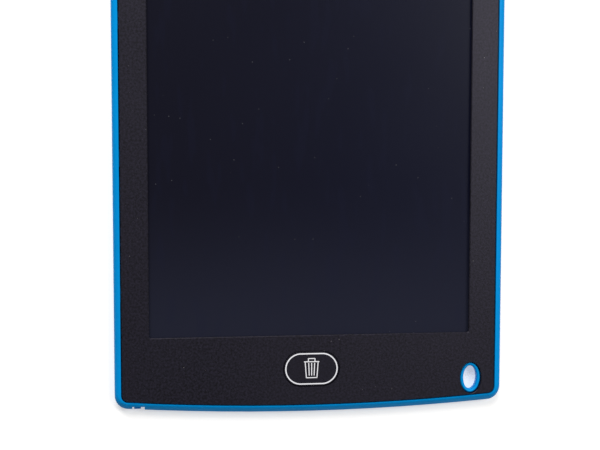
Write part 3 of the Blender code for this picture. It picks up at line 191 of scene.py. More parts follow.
class Shader:
    """One material, built from expressions."""

    def __init__(self, name: str) -> None:
        """Makes an empty material with a Principled surface.

        Args:
            name: The material's name.
        """
        self.material = bpy.data.materials.new(name)
        self.material.use_nodes = True
        self.tree = self.material.node_tree
        self.surface = self.tree.nodes["Principled BSDF"]

    def node(
        self,
        kind: str,
        settings: dict[str, object] | None = None,
        sockets: dict[int | str, object] | None = None,
        out: int | str = 0,
    ) -> Signal:
        """Adds a node.

        Args:
            kind: The node's type.
            settings: Its attributes, set first.
            sockets: Values or signals for its inputs, by index or name.
            out: The output that is returned.

        Returns:
            The chosen output.
        """
        made = self.tree.nodes.new(kind)
        for key, value in (settings or {}).items():
            setattr(made, key, value)
        for key, value in (sockets or {}).items():
            self.feed(made.inputs[key], value)
        return Signal(self, made.outputs[out])

    def feed(self, socket: bpy.types.NodeSocket, value: object) -> None:
        """Links a signal to a socket, or sets the socket's own value.

        Args:
            socket: The input socket.
            value: A signal, a number, a vector or a colour.
        """
        if isinstance(value, Signal):
            self.tree.links.new(value.socket, socket)
        elif isinstance(value, tuple) and socket.type == "RGBA":
            socket.default_value = (*value, 1.0)
        else:
            socket.default_value = value

    def set(self, **sockets: object) -> None:
        """Feeds the surface's sockets. An underscore stands for a space in a socket's name."""
        for name, value in sockets.items():
            self.feed(self.surface.inputs[name.replace("_", " ")], value)

    def coordinates(self) -> Signal:
        """The point on the piece, in metres."""
        return self.node("ShaderNodeTexCoord", out="Object")

    def axis(self, name: str) -> Signal:
        """One coordinate of the point, X, Y or Z."""
        return self.node("ShaderNodeSeparateXYZ", None, {0: self.coordinates()}, out=name)

    def upwards(self) -> Signal:
        """How far the surface looks along +Z, from -1 to 1."""
        normal = self.node("ShaderNodeTexCoord", out="Normal")
        return self.node("ShaderNodeSeparateXYZ", None, {0: normal}, out="Z")

    def stretched(self, stretch: Triple, turn: float = 0.0) -> Signal:
        """The point, scaled unevenly, so that a pattern on it gets a direction.

        Args:
            stretch: The factor along each axis. A small one draws the pattern out.
            turn: The angle about Z that the pattern is turned by, in radians.

        Returns:
            The scaled point.
        """
        turned = Vector((0.0, 0.0, turn))
        sockets = {"Vector": self.coordinates(), "Scale": Vector(stretch), "Rotation": turned}
        return self.node("ShaderNodeMapping", None, sockets)

    def noise(self, size: float, seed: float, detail: float = 2.0, at: Signal | None = None) -> Signal:
        """Noise about one half.

        Args:
            size: How large its lumps are, in metres.
            seed: Which noise of that size it is.
            detail: How many finer layers it has.
            at: The point it is read at, or the point on the piece.

        Returns:
            The noise.
        """
        sockets = {"Vector": at or self.coordinates(), "W": seed, "Scale": 1.0 / size, "Detail": detail}
        return self.node("ShaderNodeTexNoise", {"noise_dimensions": "4D"}, sockets)

    def cells(self, pitch: float) -> Signal:
        """The distance to the nearest of many scattered points, as a share of their pitch."""
        sockets = {"Vector": self.coordinates(), "Scale": 1.0 / pitch}
        return self.node("ShaderNodeTexVoronoi", None, sockets, out="Distance")

    def specks(self, pitch: float, radius_share: float) -> Signal:
        """Scattered round specks, whose radius is a share of their pitch."""
        return self.cells(pitch).below(radius_share)

    def mix(self, share: Value, first: object, second: object) -> Signal:
        """A colour between two."""
        settings = {"data_type": "RGBA"}
        return self.node("ShaderNodeMix", settings, {0: share, 6: first, 7: second}, out=2)

    def tones(self, share: Value, colour: Colour, dark: float, light: float) -> Signal:
        """A colour between a darker and a lighter tone of one colour."""
        return self.mix(share, shade(colour, dark), shade(colour, light))

    def bump(self, height: Signal, depth: float) -> Signal:
        """A surface direction that a height pattern tilts."""
        return self.node("ShaderNodeBump", None, {"Height": height, "Distance": depth, "Strength": 1.0})

    def radius(self, centre: Spot) -> Signal:
        """The distance from an axis along Z.

        Args:
            centre: The X and Y of the axis.

        Returns:
            The distance, in metres.
        """
        across = self.axis("X") - centre[0]
        along = self.axis("Y") - centre[1]
        return (across * across + along * along).root()


def shade(colour: Colour, gain: float) -> Colour:
    """A colour made lighter or darker."""
    return tuple(min(1.0, channel * gain) for channel in colour)


# Finishes


@dataclass(frozen=True)
class Finish:
    """What each finish has: a name, and a way to draw itself.

    A finish's sizes and colours are its fields. The numbers left inside draw are shares of a blend
    and the ends of its ramps, which were set beside the photograph.
    """

    name: str

    def draw(self, shader: Shader) -> None:
        """Builds the nodes of the finish.

        Args:
            shader: The new material.
        """
        raise NotImplementedError

    def material(self) -> bpy.types.Material:
        """Finds the finish's material, and makes it on its first use.

        Returns:
            The material.
        """
        name = f"finish_{self.name}"
        found = bpy.data.materials.get(name)
        if found:
            return found
        shader = Shader(name)
        self.draw(shader)
        return shader.material


@dataclass(frozen=True)
class MouldedPlastic(Finish):
    """Moulded plastic: drifting pigment, a spark-eroded grain, faint scuffs and settled dust."""

    colour: Colour
    roughness: float = 0.4
    gloss: float = 0.3
    gloss_tint: Colour = (1.0, 1.0, 1.0)
    drift: float = 0.08
    speckle: float = 0.0
    speckle_share: float = 1.6
    grain: float = 0.4 * MM
    grain_depth: float = 0.006 * MM
    scuffs: float = 0.1
    dust: float = 0.0
    seed: float = 0.0
    cloud: float = 26.0 * MM
    fleck: float = 1.1 * MM
    scuff_width: float = 0.35 * MM
    scuff_patch: float = 14.0 * MM
    dust_pitch: float = 2.6 * MM
    dust_radius_share: float = 0.045
    dust_from: float = 0.56
    dust_colour: Colour = (0.42, 0.4, 0.38)

    def draw(self, shader: Shader) -> None:
        """Clouds the pigment, adds scuffs and dust, and grains the surface.

        Args:
            shader: The new material.
        """
        # Each noise has a seed of its own, counted on from the piece's
        cloud = shader.noise(self.cloud, self.seed, 3.0)
        fleck = shader.noise(self.fleck, self.seed + 3.0, 3.0)
        grain = shader.noise(self.grain, self.seed + 5.0, 1.0)
        pigment = (cloud * 0.5 + fleck * 0.3 + grain * 0.2).ramp(0.35, 0.65)
        base = shader.tones(pigment, self.colour, 1.0 - self.drift, 1.0 + self.drift)
        if self.speckle:
            mottle = shader.noise(self.grain * self.speckle_share, self.seed + 7.0).ramp(0.3, 0.7)
            base = shader.tones(mottle, self.colour, 1.0 - self.speckle, 1.0 + self.speckle)
            base = shader.mix(pigment * 0.35, base, shade(self.colour, 1.0 + self.drift))
        worn = self.wear(shader)
        base = shader.mix(worn * self.scuffs, base, shade(self.colour, 1.8))
        if self.dust:
            specks = shader.specks(self.dust_pitch, self.dust_radius_share) * fleck.above(self.dust_from)
            base = shader.mix(specks * self.dust, base, self.dust_colour)
        roughness = self.roughness + grain.swing(0.12) + cloud.swing(0.1) + worn * 0.12
        shader.set(Base_Color=base, Roughness=roughness)
        shader.set(Normal=shader.bump(grain + fleck * 0.4, self.grain_depth))
        shader.set(IOR=PLASTIC_IOR, Specular_IOR_Level=self.gloss, Specular_Tint=self.gloss_tint)

    def wear(self, shader: Shader) -> Signal:
        """Slanting scuffs that come in patches.

        Args:
            shader: The material that they are drawn in.

        Returns:
            1 on a scuff and 0 elsewhere.
        """
        slanting = shader.stretched((1.0, 0.08, 1.0), 0.6)
        streaks = shader.noise(self.scuff_width, self.seed + 9.0, 1.0, slanting).ramp(0.66, 0.72)
        return streaks * shader.noise(self.scuff_patch, self.seed + 11.0).ramp(0.52, 0.7)


@dataclass(frozen=True)
class ScreenFilm(Finish):
    """The screen's dark film: blue-black, with a painted sheen that makes it paler to the right and near its
    lower edge.
    """

    # left, right and low are the ends of a painted sheen: the film's tone as it is lit, darker at the left
    # and paler to the right and near the lower edge.
    left: Colour
    right: Colour
    low: Colour
    low_edge: float
    half_width: float
    roughness: float = 0.3
    gloss: float = 0.09
    cloud: float = 38.0 * MM
    low_sheen_reach: float = 62.0 * MM
    low_sheen_margin: float = 6.0 * MM
    ghost_width: float = 3.0 * MM
    dust: float = 0.24
    dust_pitch: float = 4.0 * MM
    dust_radius_share: float = 0.04
    dust_from: float = 0.48
    dust_colour: Colour = (0.3, 0.3, 0.32)
    tooth: float = 0.3 * MM
    tooth_depth: float = 0.0015 * MM

    def draw(self, shader: Shader) -> None:
        """Paints a sheen that makes the film paler to the right and down to its lower edge, and adds faint
        old strokes, specks and a fine tooth.

        Args:
            shader: The new material.
        """
        # Painted sheen: the ramp across X and the paling towards the lower edge stand in for the lamps'
        # reflection in the film.
        across = shader.axis("X").ramp(-self.half_width, self.half_width)
        cloud = shader.noise(self.cloud, 2.0)
        painted_low_sheen = shader.axis("Y").ramp(self.low_edge + self.low_sheen_reach, self.low_edge - self.low_sheen_margin)
        base = shader.mix(across * 0.9 + cloud.swing(0.3), self.left, self.right)
        base = shader.mix(painted_low_sheen * 0.85, base, self.low)
        ghosts = shader.noise(self.ghost_width, 4.0, 1.0, shader.stretched((1.0, 0.2, 1.0), 0.9))
        base = shader.mix(ghosts.ramp(0.58, 0.66) * 0.12, base, shade(self.right, 1.7))
        specks = shader.specks(self.dust_pitch, self.dust_radius_share) * cloud.above(self.dust_from)
        base = shader.mix(specks * self.dust, base, self.dust_colour)
        tooth = shader.noise(self.tooth, 7.0, 1.0)
        shader.set(Base_Color=base, Roughness=self.roughness + cloud.swing(0.08) + tooth.swing(0.06))
        shader.set(Normal=shader.bump(tooth, self.tooth_depth))
        shader.set(IOR=PLASTIC_IOR, Specular_IOR_Level=self.gloss)


@dataclass(frozen=True)
class PrintedInk(Finish):
    """Screen-printed ink with a slightly uneven film and a few pinholes."""

    colour: Colour
    roughness: float = 0.5
    unevenness: float = 0.6 * MM
    relief: float = 0.004 * MM
    pinhole_pitch: float = 0.9 * MM
    pinhole_radius_share: float = 0.04

    def draw(self, shader: Shader) -> None:
        """Thins the film here and there and pricks it with pinholes.

        Args:
            shader: The new material.
        """
        film = shader.noise(self.unevenness, 1.0)
        pinholes = shader.specks(self.pinhole_pitch, self.pinhole_radius_share)
        base = shader.tones(film, self.colour, 0.96, 1.0)
        base = shader.mix(pinholes * 0.5, base, shade(self.colour, 0.35))
        shader.set(Base_Color=base, Roughness=self.roughness + film * 0.1)
        shader.set(Normal=shader.bump(film, self.relief))


@dataclass(frozen=True)
class Foam(Finish):
    """Closed-cell adhesive foam."""

    colour: Colour
    bubble: float = 0.22 * MM
    relief: float = 0.02 * MM

    def draw(self, shader: Shader) -> None:
        """Dents the foam at its bubbles and darkens the dents with painted shade.

        Args:
            shader: The new material.
        """
        bubble = shader.cells(self.bubble)
        # Painted shade: the bubble dents are made darker, as if in shade.
        base = shader.tones(bubble.ramp(0.1, 0.6), self.colour, 0.7, 1.2)
        shader.set(Base_Color=base, Roughness=0.85, Normal=shader.bump(bubble, self.relief))


@dataclass(frozen=True)
class CoatedSheet(Finish):
    """A plain plastic sheet with fine draw lines along Y."""

    colour: Colour
    roughness: float = 0.5
    line: float = 0.5 * MM
    relief: float = 0.003 * MM
    cloud: float = 20.0 * MM

    def draw(self, shader: Shader) -> None:
        """Draws fine lines along the sheet over a slow drift of tone.

        Args:
            shader: The new material.
        """
        lines = shader.noise(self.line, 6.0, 2.0, shader.stretched((1.0, 0.02, 1.0)))
        base = shader.tones(shader.noise(self.cloud, 8.0), self.colour, 0.92, 1.08)
        base = shader.mix(lines * 0.3, base, shade(self.colour, 0.8))
        shader.set(Base_Color=base, Roughness=self.roughness + lines.swing(0.2))
        shader.set(Normal=shader.bump(lines, self.relief))


@dataclass(frozen=True)
class SolderMask(Finish):
    """A printed circuit board: mask over tracks, tinned vias and a bare laminate edge."""

    mask: Colour = (0.012, 0.14, 0.045)
    track: Colour = (0.03, 0.24, 0.08)
    laminate: Colour = (0.36, 0.3, 0.14)
    tin: Colour = (0.62, 0.62, 0.6)
    track_gap: float = 0.16 * MM
    track_length: float = 5.3 * MM
    track_pitch: float = 1.3 * MM
    via_pitch: float = 2.4 * MM
    via_radius_share: float = 0.1
    weave: float = 0.18 * MM
    relief: float = 0.03 * MM

    def tracks(self, shader: Shader) -> Signal:
        """Lines between shifted rows, as the edges of a brick pattern.

        Args:
            shader: The material that they are drawn in.

        Returns:
            1 on a line and 0 elsewhere.
        """
        settings = {"offset": 0.37, "squash": 0.7, "squash_frequency": 3}
        sizes = {
            "Scale": 1.0, "Mortar Size": self.track_gap, "Mortar Smooth": 0.0,
            "Brick Width": self.track_length, "Row Height": self.track_pitch,
        }
        sockets = {"Vector": shader.coordinates(), **sizes}
        return shader.node("ShaderNodeTexBrick", settings, sockets, out="Fac")

    def draw(self, shader: Shader) -> None:
        """Lays tracks and vias on the faces, and a weave on the edges.

        Args:
            shader: The new material.
        """
        tracks = self.tracks(shader)
        vias = shader.specks(self.via_pitch, self.via_radius_share)
        face = abs(shader.upwards()).above(FLAT_FROM)
        top = shader.mix(vias, shader.mix(tracks, self.mask, self.track), self.tin)
        weave = shader.noise(self.weave, 3.0, 1.0, shader.stretched((0.2, 1.0, 1.0)))
        edge = shader.tones(weave, self.laminate, 0.7, 1.0)
        shader.set(Base_Color=shader.mix(face, edge, top), Metallic=vias * face)
        shader.set(Roughness=0.75 - face * 0.4 + weave * 0.08)
        shader.set(Normal=shader.bump(tracks * 0.5 + vias, self.relief))


@dataclass(frozen=True)
class ChipPackage(Finish):
    """Moulded epoxy with a pin-one dot in one corner."""

    dot: Spot
    colour: Colour = (0.014, 0.014, 0.015)
    dot_colour: Colour = (0.1, 0.1, 0.1)
    dot_radius: float = 0.22 * MM
    grain: float = 0.12 * MM
    relief: float = 0.012 * MM

    def draw(self, shader: Shader) -> None:
        """Grains the epoxy and sinks a paler dot into its top.

        Args:
            shader: The new material.
        """
        grain = shader.noise(self.grain, 2.0)
        dot = shader.radius(self.dot).below(self.dot_radius) * shader.upwards().above(FLAT_FROM)
        base = shader.mix(dot, shader.tones(grain, self.colour, 0.8, 1.5), self.dot_colour)
        shader.set(Base_Color=base, Roughness=0.5 + grain * 0.2 - dot * 0.2)
        shader.set(Normal=shader.bump(grain - dot * 0.5, self.relief))


@dataclass(frozen=True)
class CappedComponent(Finish):
    """A surface-mount part: a fired or coated body between two tinned ends."""

    colour: Colour
    centre_x: float
    half_length: float
    end_share: float = 0.3
    end_blur_share: float = 0.04
    tin_dull: Colour = (0.5, 0.5, 0.49)
    tin_bright: Colour = (0.72, 0.72, 0.7)
    grain: float = 0.15 * MM
    relief: float = 0.01 * MM

    def draw(self, shader: Shader) -> None:
        """Tins the ends and grains the body between them.

        Args:
            shader: The new material.
        """
        reach = abs(shader.axis("X") - self.centre_x) / self.half_length
        start = 1.0 - self.end_share
        ends = reach.ramp(start - self.end_blur_share, start)
        grain = shader.noise(self.grain, self.half_length / MM)
        body = shader.tones(grain, self.colour, 0.8, 1.15)
        tin = shader.mix(grain, self.tin_dull, self.tin_bright)
        shader.set(Base_Color=shader.mix(ends, body, tin), Metallic=ends, Roughness=0.5 - ends * 0.15)
        shader.set(Normal=shader.bump(grain, self.relief))


@dataclass(frozen=True)
class RolledMetal(Finish):
    """Rolled or stamped metal with a directional polish, fine pits and a little tarnish."""

    colour: Colour
    along: Triple = (0.04, 1.0, 1.0)
    roughness: float = 0.28
    line: float = 0.09 * MM
    relief: float = 0.002 * MM
    tarnish: float = 4.0 * MM

    def draw(self, shader: Shader) -> None:
        """Polishes the metal one way and tarnishes it in patches.

        Args:
            shader: The new material.
        """
        lines = shader.noise(self.line, 5.0, 2.0, shader.stretched(self.along))
        base = shader.tones(shader.noise(self.tarnish, 6.0), self.colour, 0.86, 1.06)
        base = shader.mix(lines * 0.25, base, shade(self.colour, 0.7))
        shader.set(Base_Color=base, Metallic=1.0, Roughness=self.roughness + lines.swing(0.2))
        shader.set(Normal=shader.bump(lines, self.relief))


@dataclass(frozen=True)
class TurnedMetal(Finish):
    """Plated metal with turning rings about an axis along Z."""

    colour: Colour
    centre: Spot
    roughness: float = 0.22
    ring: float = 0.12 * MM
    relief: float = 0.002 * MM
    mark: float = 2.2 * MM

    def draw(self, shader: Shader) -> None:
        """Cuts rings about the axis and marks the plating.

        Args:
            shader: The new material.
        """
        outward = shader.node("ShaderNodeCombineXYZ", None, {0: shader.radius(self.centre)})
        rings = shader.noise(self.ring, 2.0, 2.0, outward)
        marks = shader.noise(self.mark, 3.0, 3.0)
        shader.set(Base_Color=shader.tones(marks, self.colour, 0.85, 1.08), Metallic=1.0)
        shader.set(Roughness=self.roughness + rings.swing(0.16) + marks.swing(0.14))
        shader.set(Normal=shader.bump(rings, self.relief))


@dataclass(frozen=True)
class FlexRibbon(Finish):
    """Amber film with copper tracks under it."""

    pitch: float = 0.5 * MM
    film: Colour = (0.36, 0.13, 0.015)
    copper: Colour = (0.75, 0.34, 0.12)
    ripple: float = 1.5 * MM
    relief: float = 0.008 * MM
    wave_period: float = 0.314

    def draw(self, shader: Shader) -> None:
        """Runs copper tracks under a rippled film.

        The Wave node's bands are wave_period apart at a scale of 1.

        Args:
            shader: The new material.
        """
        scale = self.wave_period / self.pitch
        sockets = {"Vector": shader.coordinates(), "Scale": scale, "Distortion": 0.0}
        bands = shader.node("ShaderNodeTexWave", {"bands_direction": "X"}, sockets, out="Fac").ramp(0.4, 0.5)
        ripple = shader.noise(self.ripple, 1.0)
        base = shader.mix(bands, self.film, self.copper)
        shader.set(Base_Color=shader.mix(ripple * 0.25, base, shade(self.film, 0.6)))
        shader.set(Roughness=0.3 + ripple * 0.1, Metallic=bands * 0.4)
        shader.set(Normal=shader.bump(bands + ripple, self.relief))


class Palette:
    """The finishes that more than one piece wears."""

    BLUE: Colour = (0.0, 0.255, 0.64)
    NICKEL: Colour = (0.66, 0.65, 0.62)
    SPRING: Colour = (0.58, 0.57, 0.54)
    TIN: Colour = (0.6, 0.6, 0.58)
    CREAM: Colour = (0.62, 0.58, 0.46)
    BLACK: Colour = (0.016, 0.016, 0.018)
    WHITE: Colour = (0.84, 0.84, 0.87)
    VIOLET_SHEEN: Colour = (0.88, 0.84, 1.0)

    @classmethod
    def shell(cls, seed: float) -> MouldedPlastic:
        """The blue of the shell and its door.

        Args:
            seed: Which clouds and scuffs it has.

        Returns:
            The finish.
        """
        return MouldedPlastic(
            f"shell_blue_{seed:g}", cls.BLUE, roughness=0.4, gloss=0.05, drift=0.05, grain=0.5 * MM,
            grain_depth=0.003 * MM, scuffs=0.08, seed=seed,
        )

    @classmethod
    def textured_black(cls, name: str, colour: Colour, **texture: float) -> MouldedPlastic:
        """The textured black of the panel and the key, with a slightly violet sheen.

        Args:
            name: The finish's name.
            colour: Its pigment.
            texture: Other values of the plastic, such as its speckle and dust.

        Returns:
            The finish.
        """
        return MouldedPlastic(
            name, colour, roughness=0.42, gloss=0.34, gloss_tint=cls.VIOLET_SHEEN, drift=0.2,
            grain=0.5 * MM, **texture,
        )

    @classmethod
    def small_black(cls, seed: float) -> MouldedPlastic:
        """Black moulded plastic of small parts.

        Args:
            seed: Which clouds and scuffs it has.

        Returns:
            The finish.
        """
        return MouldedPlastic(
            f"small_black_{seed:g}", cls.BLACK, roughness=0.48, grain=0.2 * MM, scuffs=0.25, seed=seed,
        )

    @classmethod
    def cream(cls, seed: float) -> MouldedPlastic:
        """Cream nylon of connectors and plungers."""
        return MouldedPlastic(f"cream_nylon_{seed:g}", cls.CREAM, roughness=0.45, grain=0.2 * MM, seed=seed)

    @classmethod
    def leg_tin(cls) -> RolledMetal:
        """The tinned metal of legs."""
        return RolledMetal("leg_tin", cls.TIN)

    @classmethod
    def white_ink(cls) -> PrintedInk:
        """The white of the printed signs."""
        return PrintedInk("white_ink", cls.WHITE)


# Modelling


def deselect() -> None:
    """Leaves object mode with nothing selected."""
    if bpy.context.object and bpy.context.object.mode != "OBJECT":
        bpy.ops.object.mode_set(mode="OBJECT")
    bpy.ops.object.select_all(action="DESELECT")


def edit_all() -> None:
    """Edits the active object with its whole mesh selected."""
    if bpy.context.object.mode != "EDIT":
        bpy.ops.object.mode_set(mode="EDIT")
    bpy.ops.mesh.select_all(action="SELECT")


def choose(kind: Element, test: Callable[[Vector], bool]) -> None:
    """Selects the elements of the mesh in edit mode whose middle passes a test.

    Args:
        kind: Which elements are looked at.
        test: Says whether a place is chosen.
    """
    bpy.ops.mesh.select_mode(type=kind.value)
    bpy.ops.mesh.select_all(action="DESELECT")
    mesh = bmesh.from_edit_mesh(bpy.context.object.data)
    elements = {Element.VERTEX: mesh.verts, Element.EDGE: mesh.edges, Element.FACE: mesh.faces}[kind]
    for element in elements:
        corners = [element] if kind is Element.VERTEX else list(element.verts)
        middle = sum((corner.co for corner in corners), Vector()) / len(corners)
        element.select_set(test(middle))
    mesh.select_flush_mode()
    bmesh.update_edit_mesh(bpy.context.object.data)


def settle(name: str) -> bpy.types.Object:
    """Names the active object and moves its place into its mesh.

    Args:
        name: The object's new name.

    Returns:
        The object, at the origin.
    """
    if bpy.context.object.mode != "OBJECT":
        bpy.ops.object.mode_set(mode="OBJECT")
    made = bpy.context.object
    bpy.ops.object.transform_apply(location=True, rotation=True, scale=True)
    made.name = name
    made.data.name = name
    return made


def apply_modifier(kind: str, **settings: object) -> None:
    """Adds a modifier to the active object and applies it.

    Args:
        kind: The modifier's type.
        settings: Its attributes.
    """
    modifier = bpy.context.object.modifiers.new(kind.title(), kind)
    for key, value in settings.items():
        setattr(modifier, key, value)
    bpy.ops.object.modifier_apply(modifier=modifier.name)


def weld(face_out: bool) -> None:
    """Merges the doubles of the active object.

    Args:
        face_out: Whether its faces are also turned outwards.
    """
    edit_all()
    bpy.ops.mesh.remove_doubles(threshold=WELD_DISTANCE)
    if face_out:
        bpy.ops.mesh.normals_make_consistent(inside=False)
    bpy.ops.object.mode_set(mode="OBJECT")


def join_pieces(pieces: Sequence[bpy.types.Object], name: str) -> bpy.types.Object:
    """Joins pieces that don't touch into one object.

    Args:
        pieces: The pieces, each in object mode.
        name: The joined object's name.

    Returns:
        The joined object.
    """
    deselect()
    for piece in pieces:
        piece.select_set(True)
    bpy.context.view_layer.objects.active = pieces[0]
    bpy.ops.object.join()
    return settle(name)


@dataclass(frozen=True)
class FlatMark:
    """A flat shape in a film of ink or a shallow relief, on the front or the back."""

    level: float
    thickness: float = PRINT_THICKNESS
    side: Side = Side.FRONT
    corner_segments: int = 5

    def plate(self, centre: Spot, width: float, length: float, corner: float = 0.0) -> None:
        """Starts a rectangle, and leaves it in edit mode.

        Args:
            centre: The X and Y of its middle.
            width: Its size in X.
            length: Its size in Y.
            corner: The radius of its corners.
        """
        place = Vector((*centre, self.level))
        deselect()
        bpy.ops.mesh.primitive_plane_add(size=1.0, location=place)
        edit_all()
        bpy.ops.transform.resize(value=(width, length, 1.0), center_override=place)
        if corner:
            self.round_corners(corner, self.corner_segments)

    def round_corners(self, radius: float, segments: int) -> None:
        """Rounds the corners of the shape in edit mode."""
        edit_all()
        bpy.ops.mesh.bevel(offset=radius, segments=segments, affect="VERTICES")

    def hollow(self, line: float) -> None:
        """Leaves only a line along the edge of the shape in edit mode.

        Args:
            line: The width of the line.
        """
        bpy.ops.mesh.select_mode(type=Element.FACE.value)
        edit_all()
        bpy.ops.mesh.inset(thickness=line, depth=0.0)
        bpy.ops.mesh.delete(type=Element.FACE.value)

    def cut_off(self, y: float, below: bool) -> None:
        """Cuts the shape in edit mode along a line in X, and drops one side.

        Args:
            y: Where the line lies.
            below: Whether the side below the line is dropped, and not the one above it.
        """
        edit_all()
        away = (0.0, 1.0 if below else -1.0, 0.0)
        bpy.ops.mesh.bisect(plane_co=(0.0, y, 0.0), plane_no=away, clear_inner=True, use_fill=False)

    def raise_up(self, name: str) -> bpy.types.Object:
        """Gives the shape in edit mode its thickness and finishes it.

        Args:
            name: The piece's name.

        Returns:
            The closed piece, in object mode.
        """
        made = settle(name)
        apply_modifier("SOLIDIFY", thickness=self.thickness, offset=float(self.side.value))
        weld(face_out=True)
        return made


def ink_on(face: float, side: Side, thickness: float = PRINT_THICKNESS) -> FlatMark:
    """A film of ink on a face, sunk into it a little, so that no gap shows."""
    return FlatMark(face - side.value * PRINT_SINK, thickness, side)


def dress(piece: bpy.types.Object, finish: Finish) -> None:
    """Gives a piece one finish all over.

    Args:
        piece: A node or an added piece.
        finish: What it is finished with.
    """
    piece.data.materials.clear()
    piece.data.materials.append(finish.material())
    for face in piece.data.polygons:
        face.material_index = 0


@dataclass
class Assembly:
    """A group of nodes that move together, with their finishes and added pieces."""

    frame: dict
    body: str = "tablet"

    def finishes(self) -> dict[str, Finish]:
        """The finish of each node that keeps its own shape."""
        return {}

    def smoothed(self) -> dict[str, Finish]:
        """The finish of each round node that is shown through a smooth copy."""
        return {}

    def build(self) -> list[bpy.types.Object]:
        """Models the added pieces."""
        return []

    def middle(self, node: str) -> Vector:
        """The middle of a node's box."""
        low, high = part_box(node)
        return (low + high) / 2

    def spot(self, node: str) -> Spot:
        """The X and Y of the middle of a node's box."""
        return tuple(self.middle(node).xy)

    def add(self, piece: bpy.types.Object, finish: Finish, slot: str) -> bpy.types.Object:
        """Dresses a new piece and lets it ride on the assembly's body.

        Args:
            piece: The piece, in place.
            finish: What it is finished with.
            slot: The record's material slot that it belongs to. It is not used.

        Returns:
            The piece.
        """
        dress(piece, finish)
        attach(piece, self.body)
        return piece

    def smooth_copy(self, node: str, finish: Finish) -> bpy.types.Object:
        """A welded copy of a node, shaded smooth between its edges, that is shown in its place.

        Args:
            node: The node's name.
            finish: What the copy is finished with.

        Returns:
            The copy.
        """
        deselect()
        source = self.frame["nodes"][node]
        piece = bpy.data.objects.new(f"{node}_smooth", source.data.copy())
        bpy.context.scene.collection.objects.link(piece)
        piece.select_set(True)
        bpy.context.view_layer.objects.active = piece
        if piece.data.has_custom_normals:
            bpy.ops.mesh.customdata_custom_splitnormals_clear()
        weld(face_out=False)
        bpy.ops.object.shade_smooth_by_angle(angle=SMOOTH_ANGLE)
        apply_modifier("WEIGHTED_NORMAL", keep_sharp=True, weight=EDGE_WEIGHT)
        slot = next(row["material_slot"] for row in self.frame["record"]["subparts"] if row["node"] == node)
        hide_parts(node)
        return self.add(piece, finish, slot)

    def assemble(self) -> None:
        """Dresses the nodes, models the pieces and reports them."""
        for node, finish in self.finishes().items():
            dress(self.frame["nodes"][node], finish)
            LOG.info("%s: %s", node, finish.name)
        for node, finish in self.smoothed().items():
            LOG.info("%s: %s", self.smooth_copy(node, finish).name, finish.name)
        for piece in self.build():
            LOG.info("%s rides on %s", piece.name, self.body)


# The tablet's sub-assemblies


@dataclass
class Enclosure(Assembly):
    """The blue shell and the black panel round the screen."""

    def smoothed(self) -> dict[str, Finish]:
        """Colours the two mouldings, whose rims are rounded.

        Returns:
            The finish of each.
        """
        panel = Palette.textured_black(
            "panel_black", (0.0066, 0.0058, 0.0105), speckle=0.9, grain_depth=0.022 * MM, scuffs=0.05,
            dust=0.5, seed=21.0,
        )
        return {"back_shell": Palette.shell(1.0), "front_panel": panel}


@dataclass
class Display(Assembly):
    """The sheets of the screen, the tape and plate round them, and the ribbon to the board."""

    def finishes(self) -> dict[str, Finish]:
        """Colours the flat layers, and the ribbon with its connector.

        Returns:
            The finish of each.
        """
        low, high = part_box("front_sheet")
        # The film's colours include a painted sheen, paler to the right and towards its lower edge.
        film = ScreenFilm(
            "screen_film", left=(0.006, 0.006, 0.0128), right=(0.0054, 0.0062, 0.0168),
            low=(0.0158, 0.0172, 0.031), low_edge=low.y, half_width=high.x,
        )
        return {
            "front_sheet": film,
            "rear_sheet": CoatedSheet("conductive_sheet", (0.02, 0.022, 0.035), roughness=0.3),
            "screen_tape": Foam("tape_foam", (0.1, 0.1, 0.1)),
            "backing_plate": CoatedSheet("backing_sheet", (0.2, 0.2, 0.205), roughness=0.6),
            "screen_ribbon": FlexRibbon("flex_ribbon"),
            "ribbon_connector": Palette.cream(3.0),
            "ribbon_latch": Palette.small_black(4.0),
        }


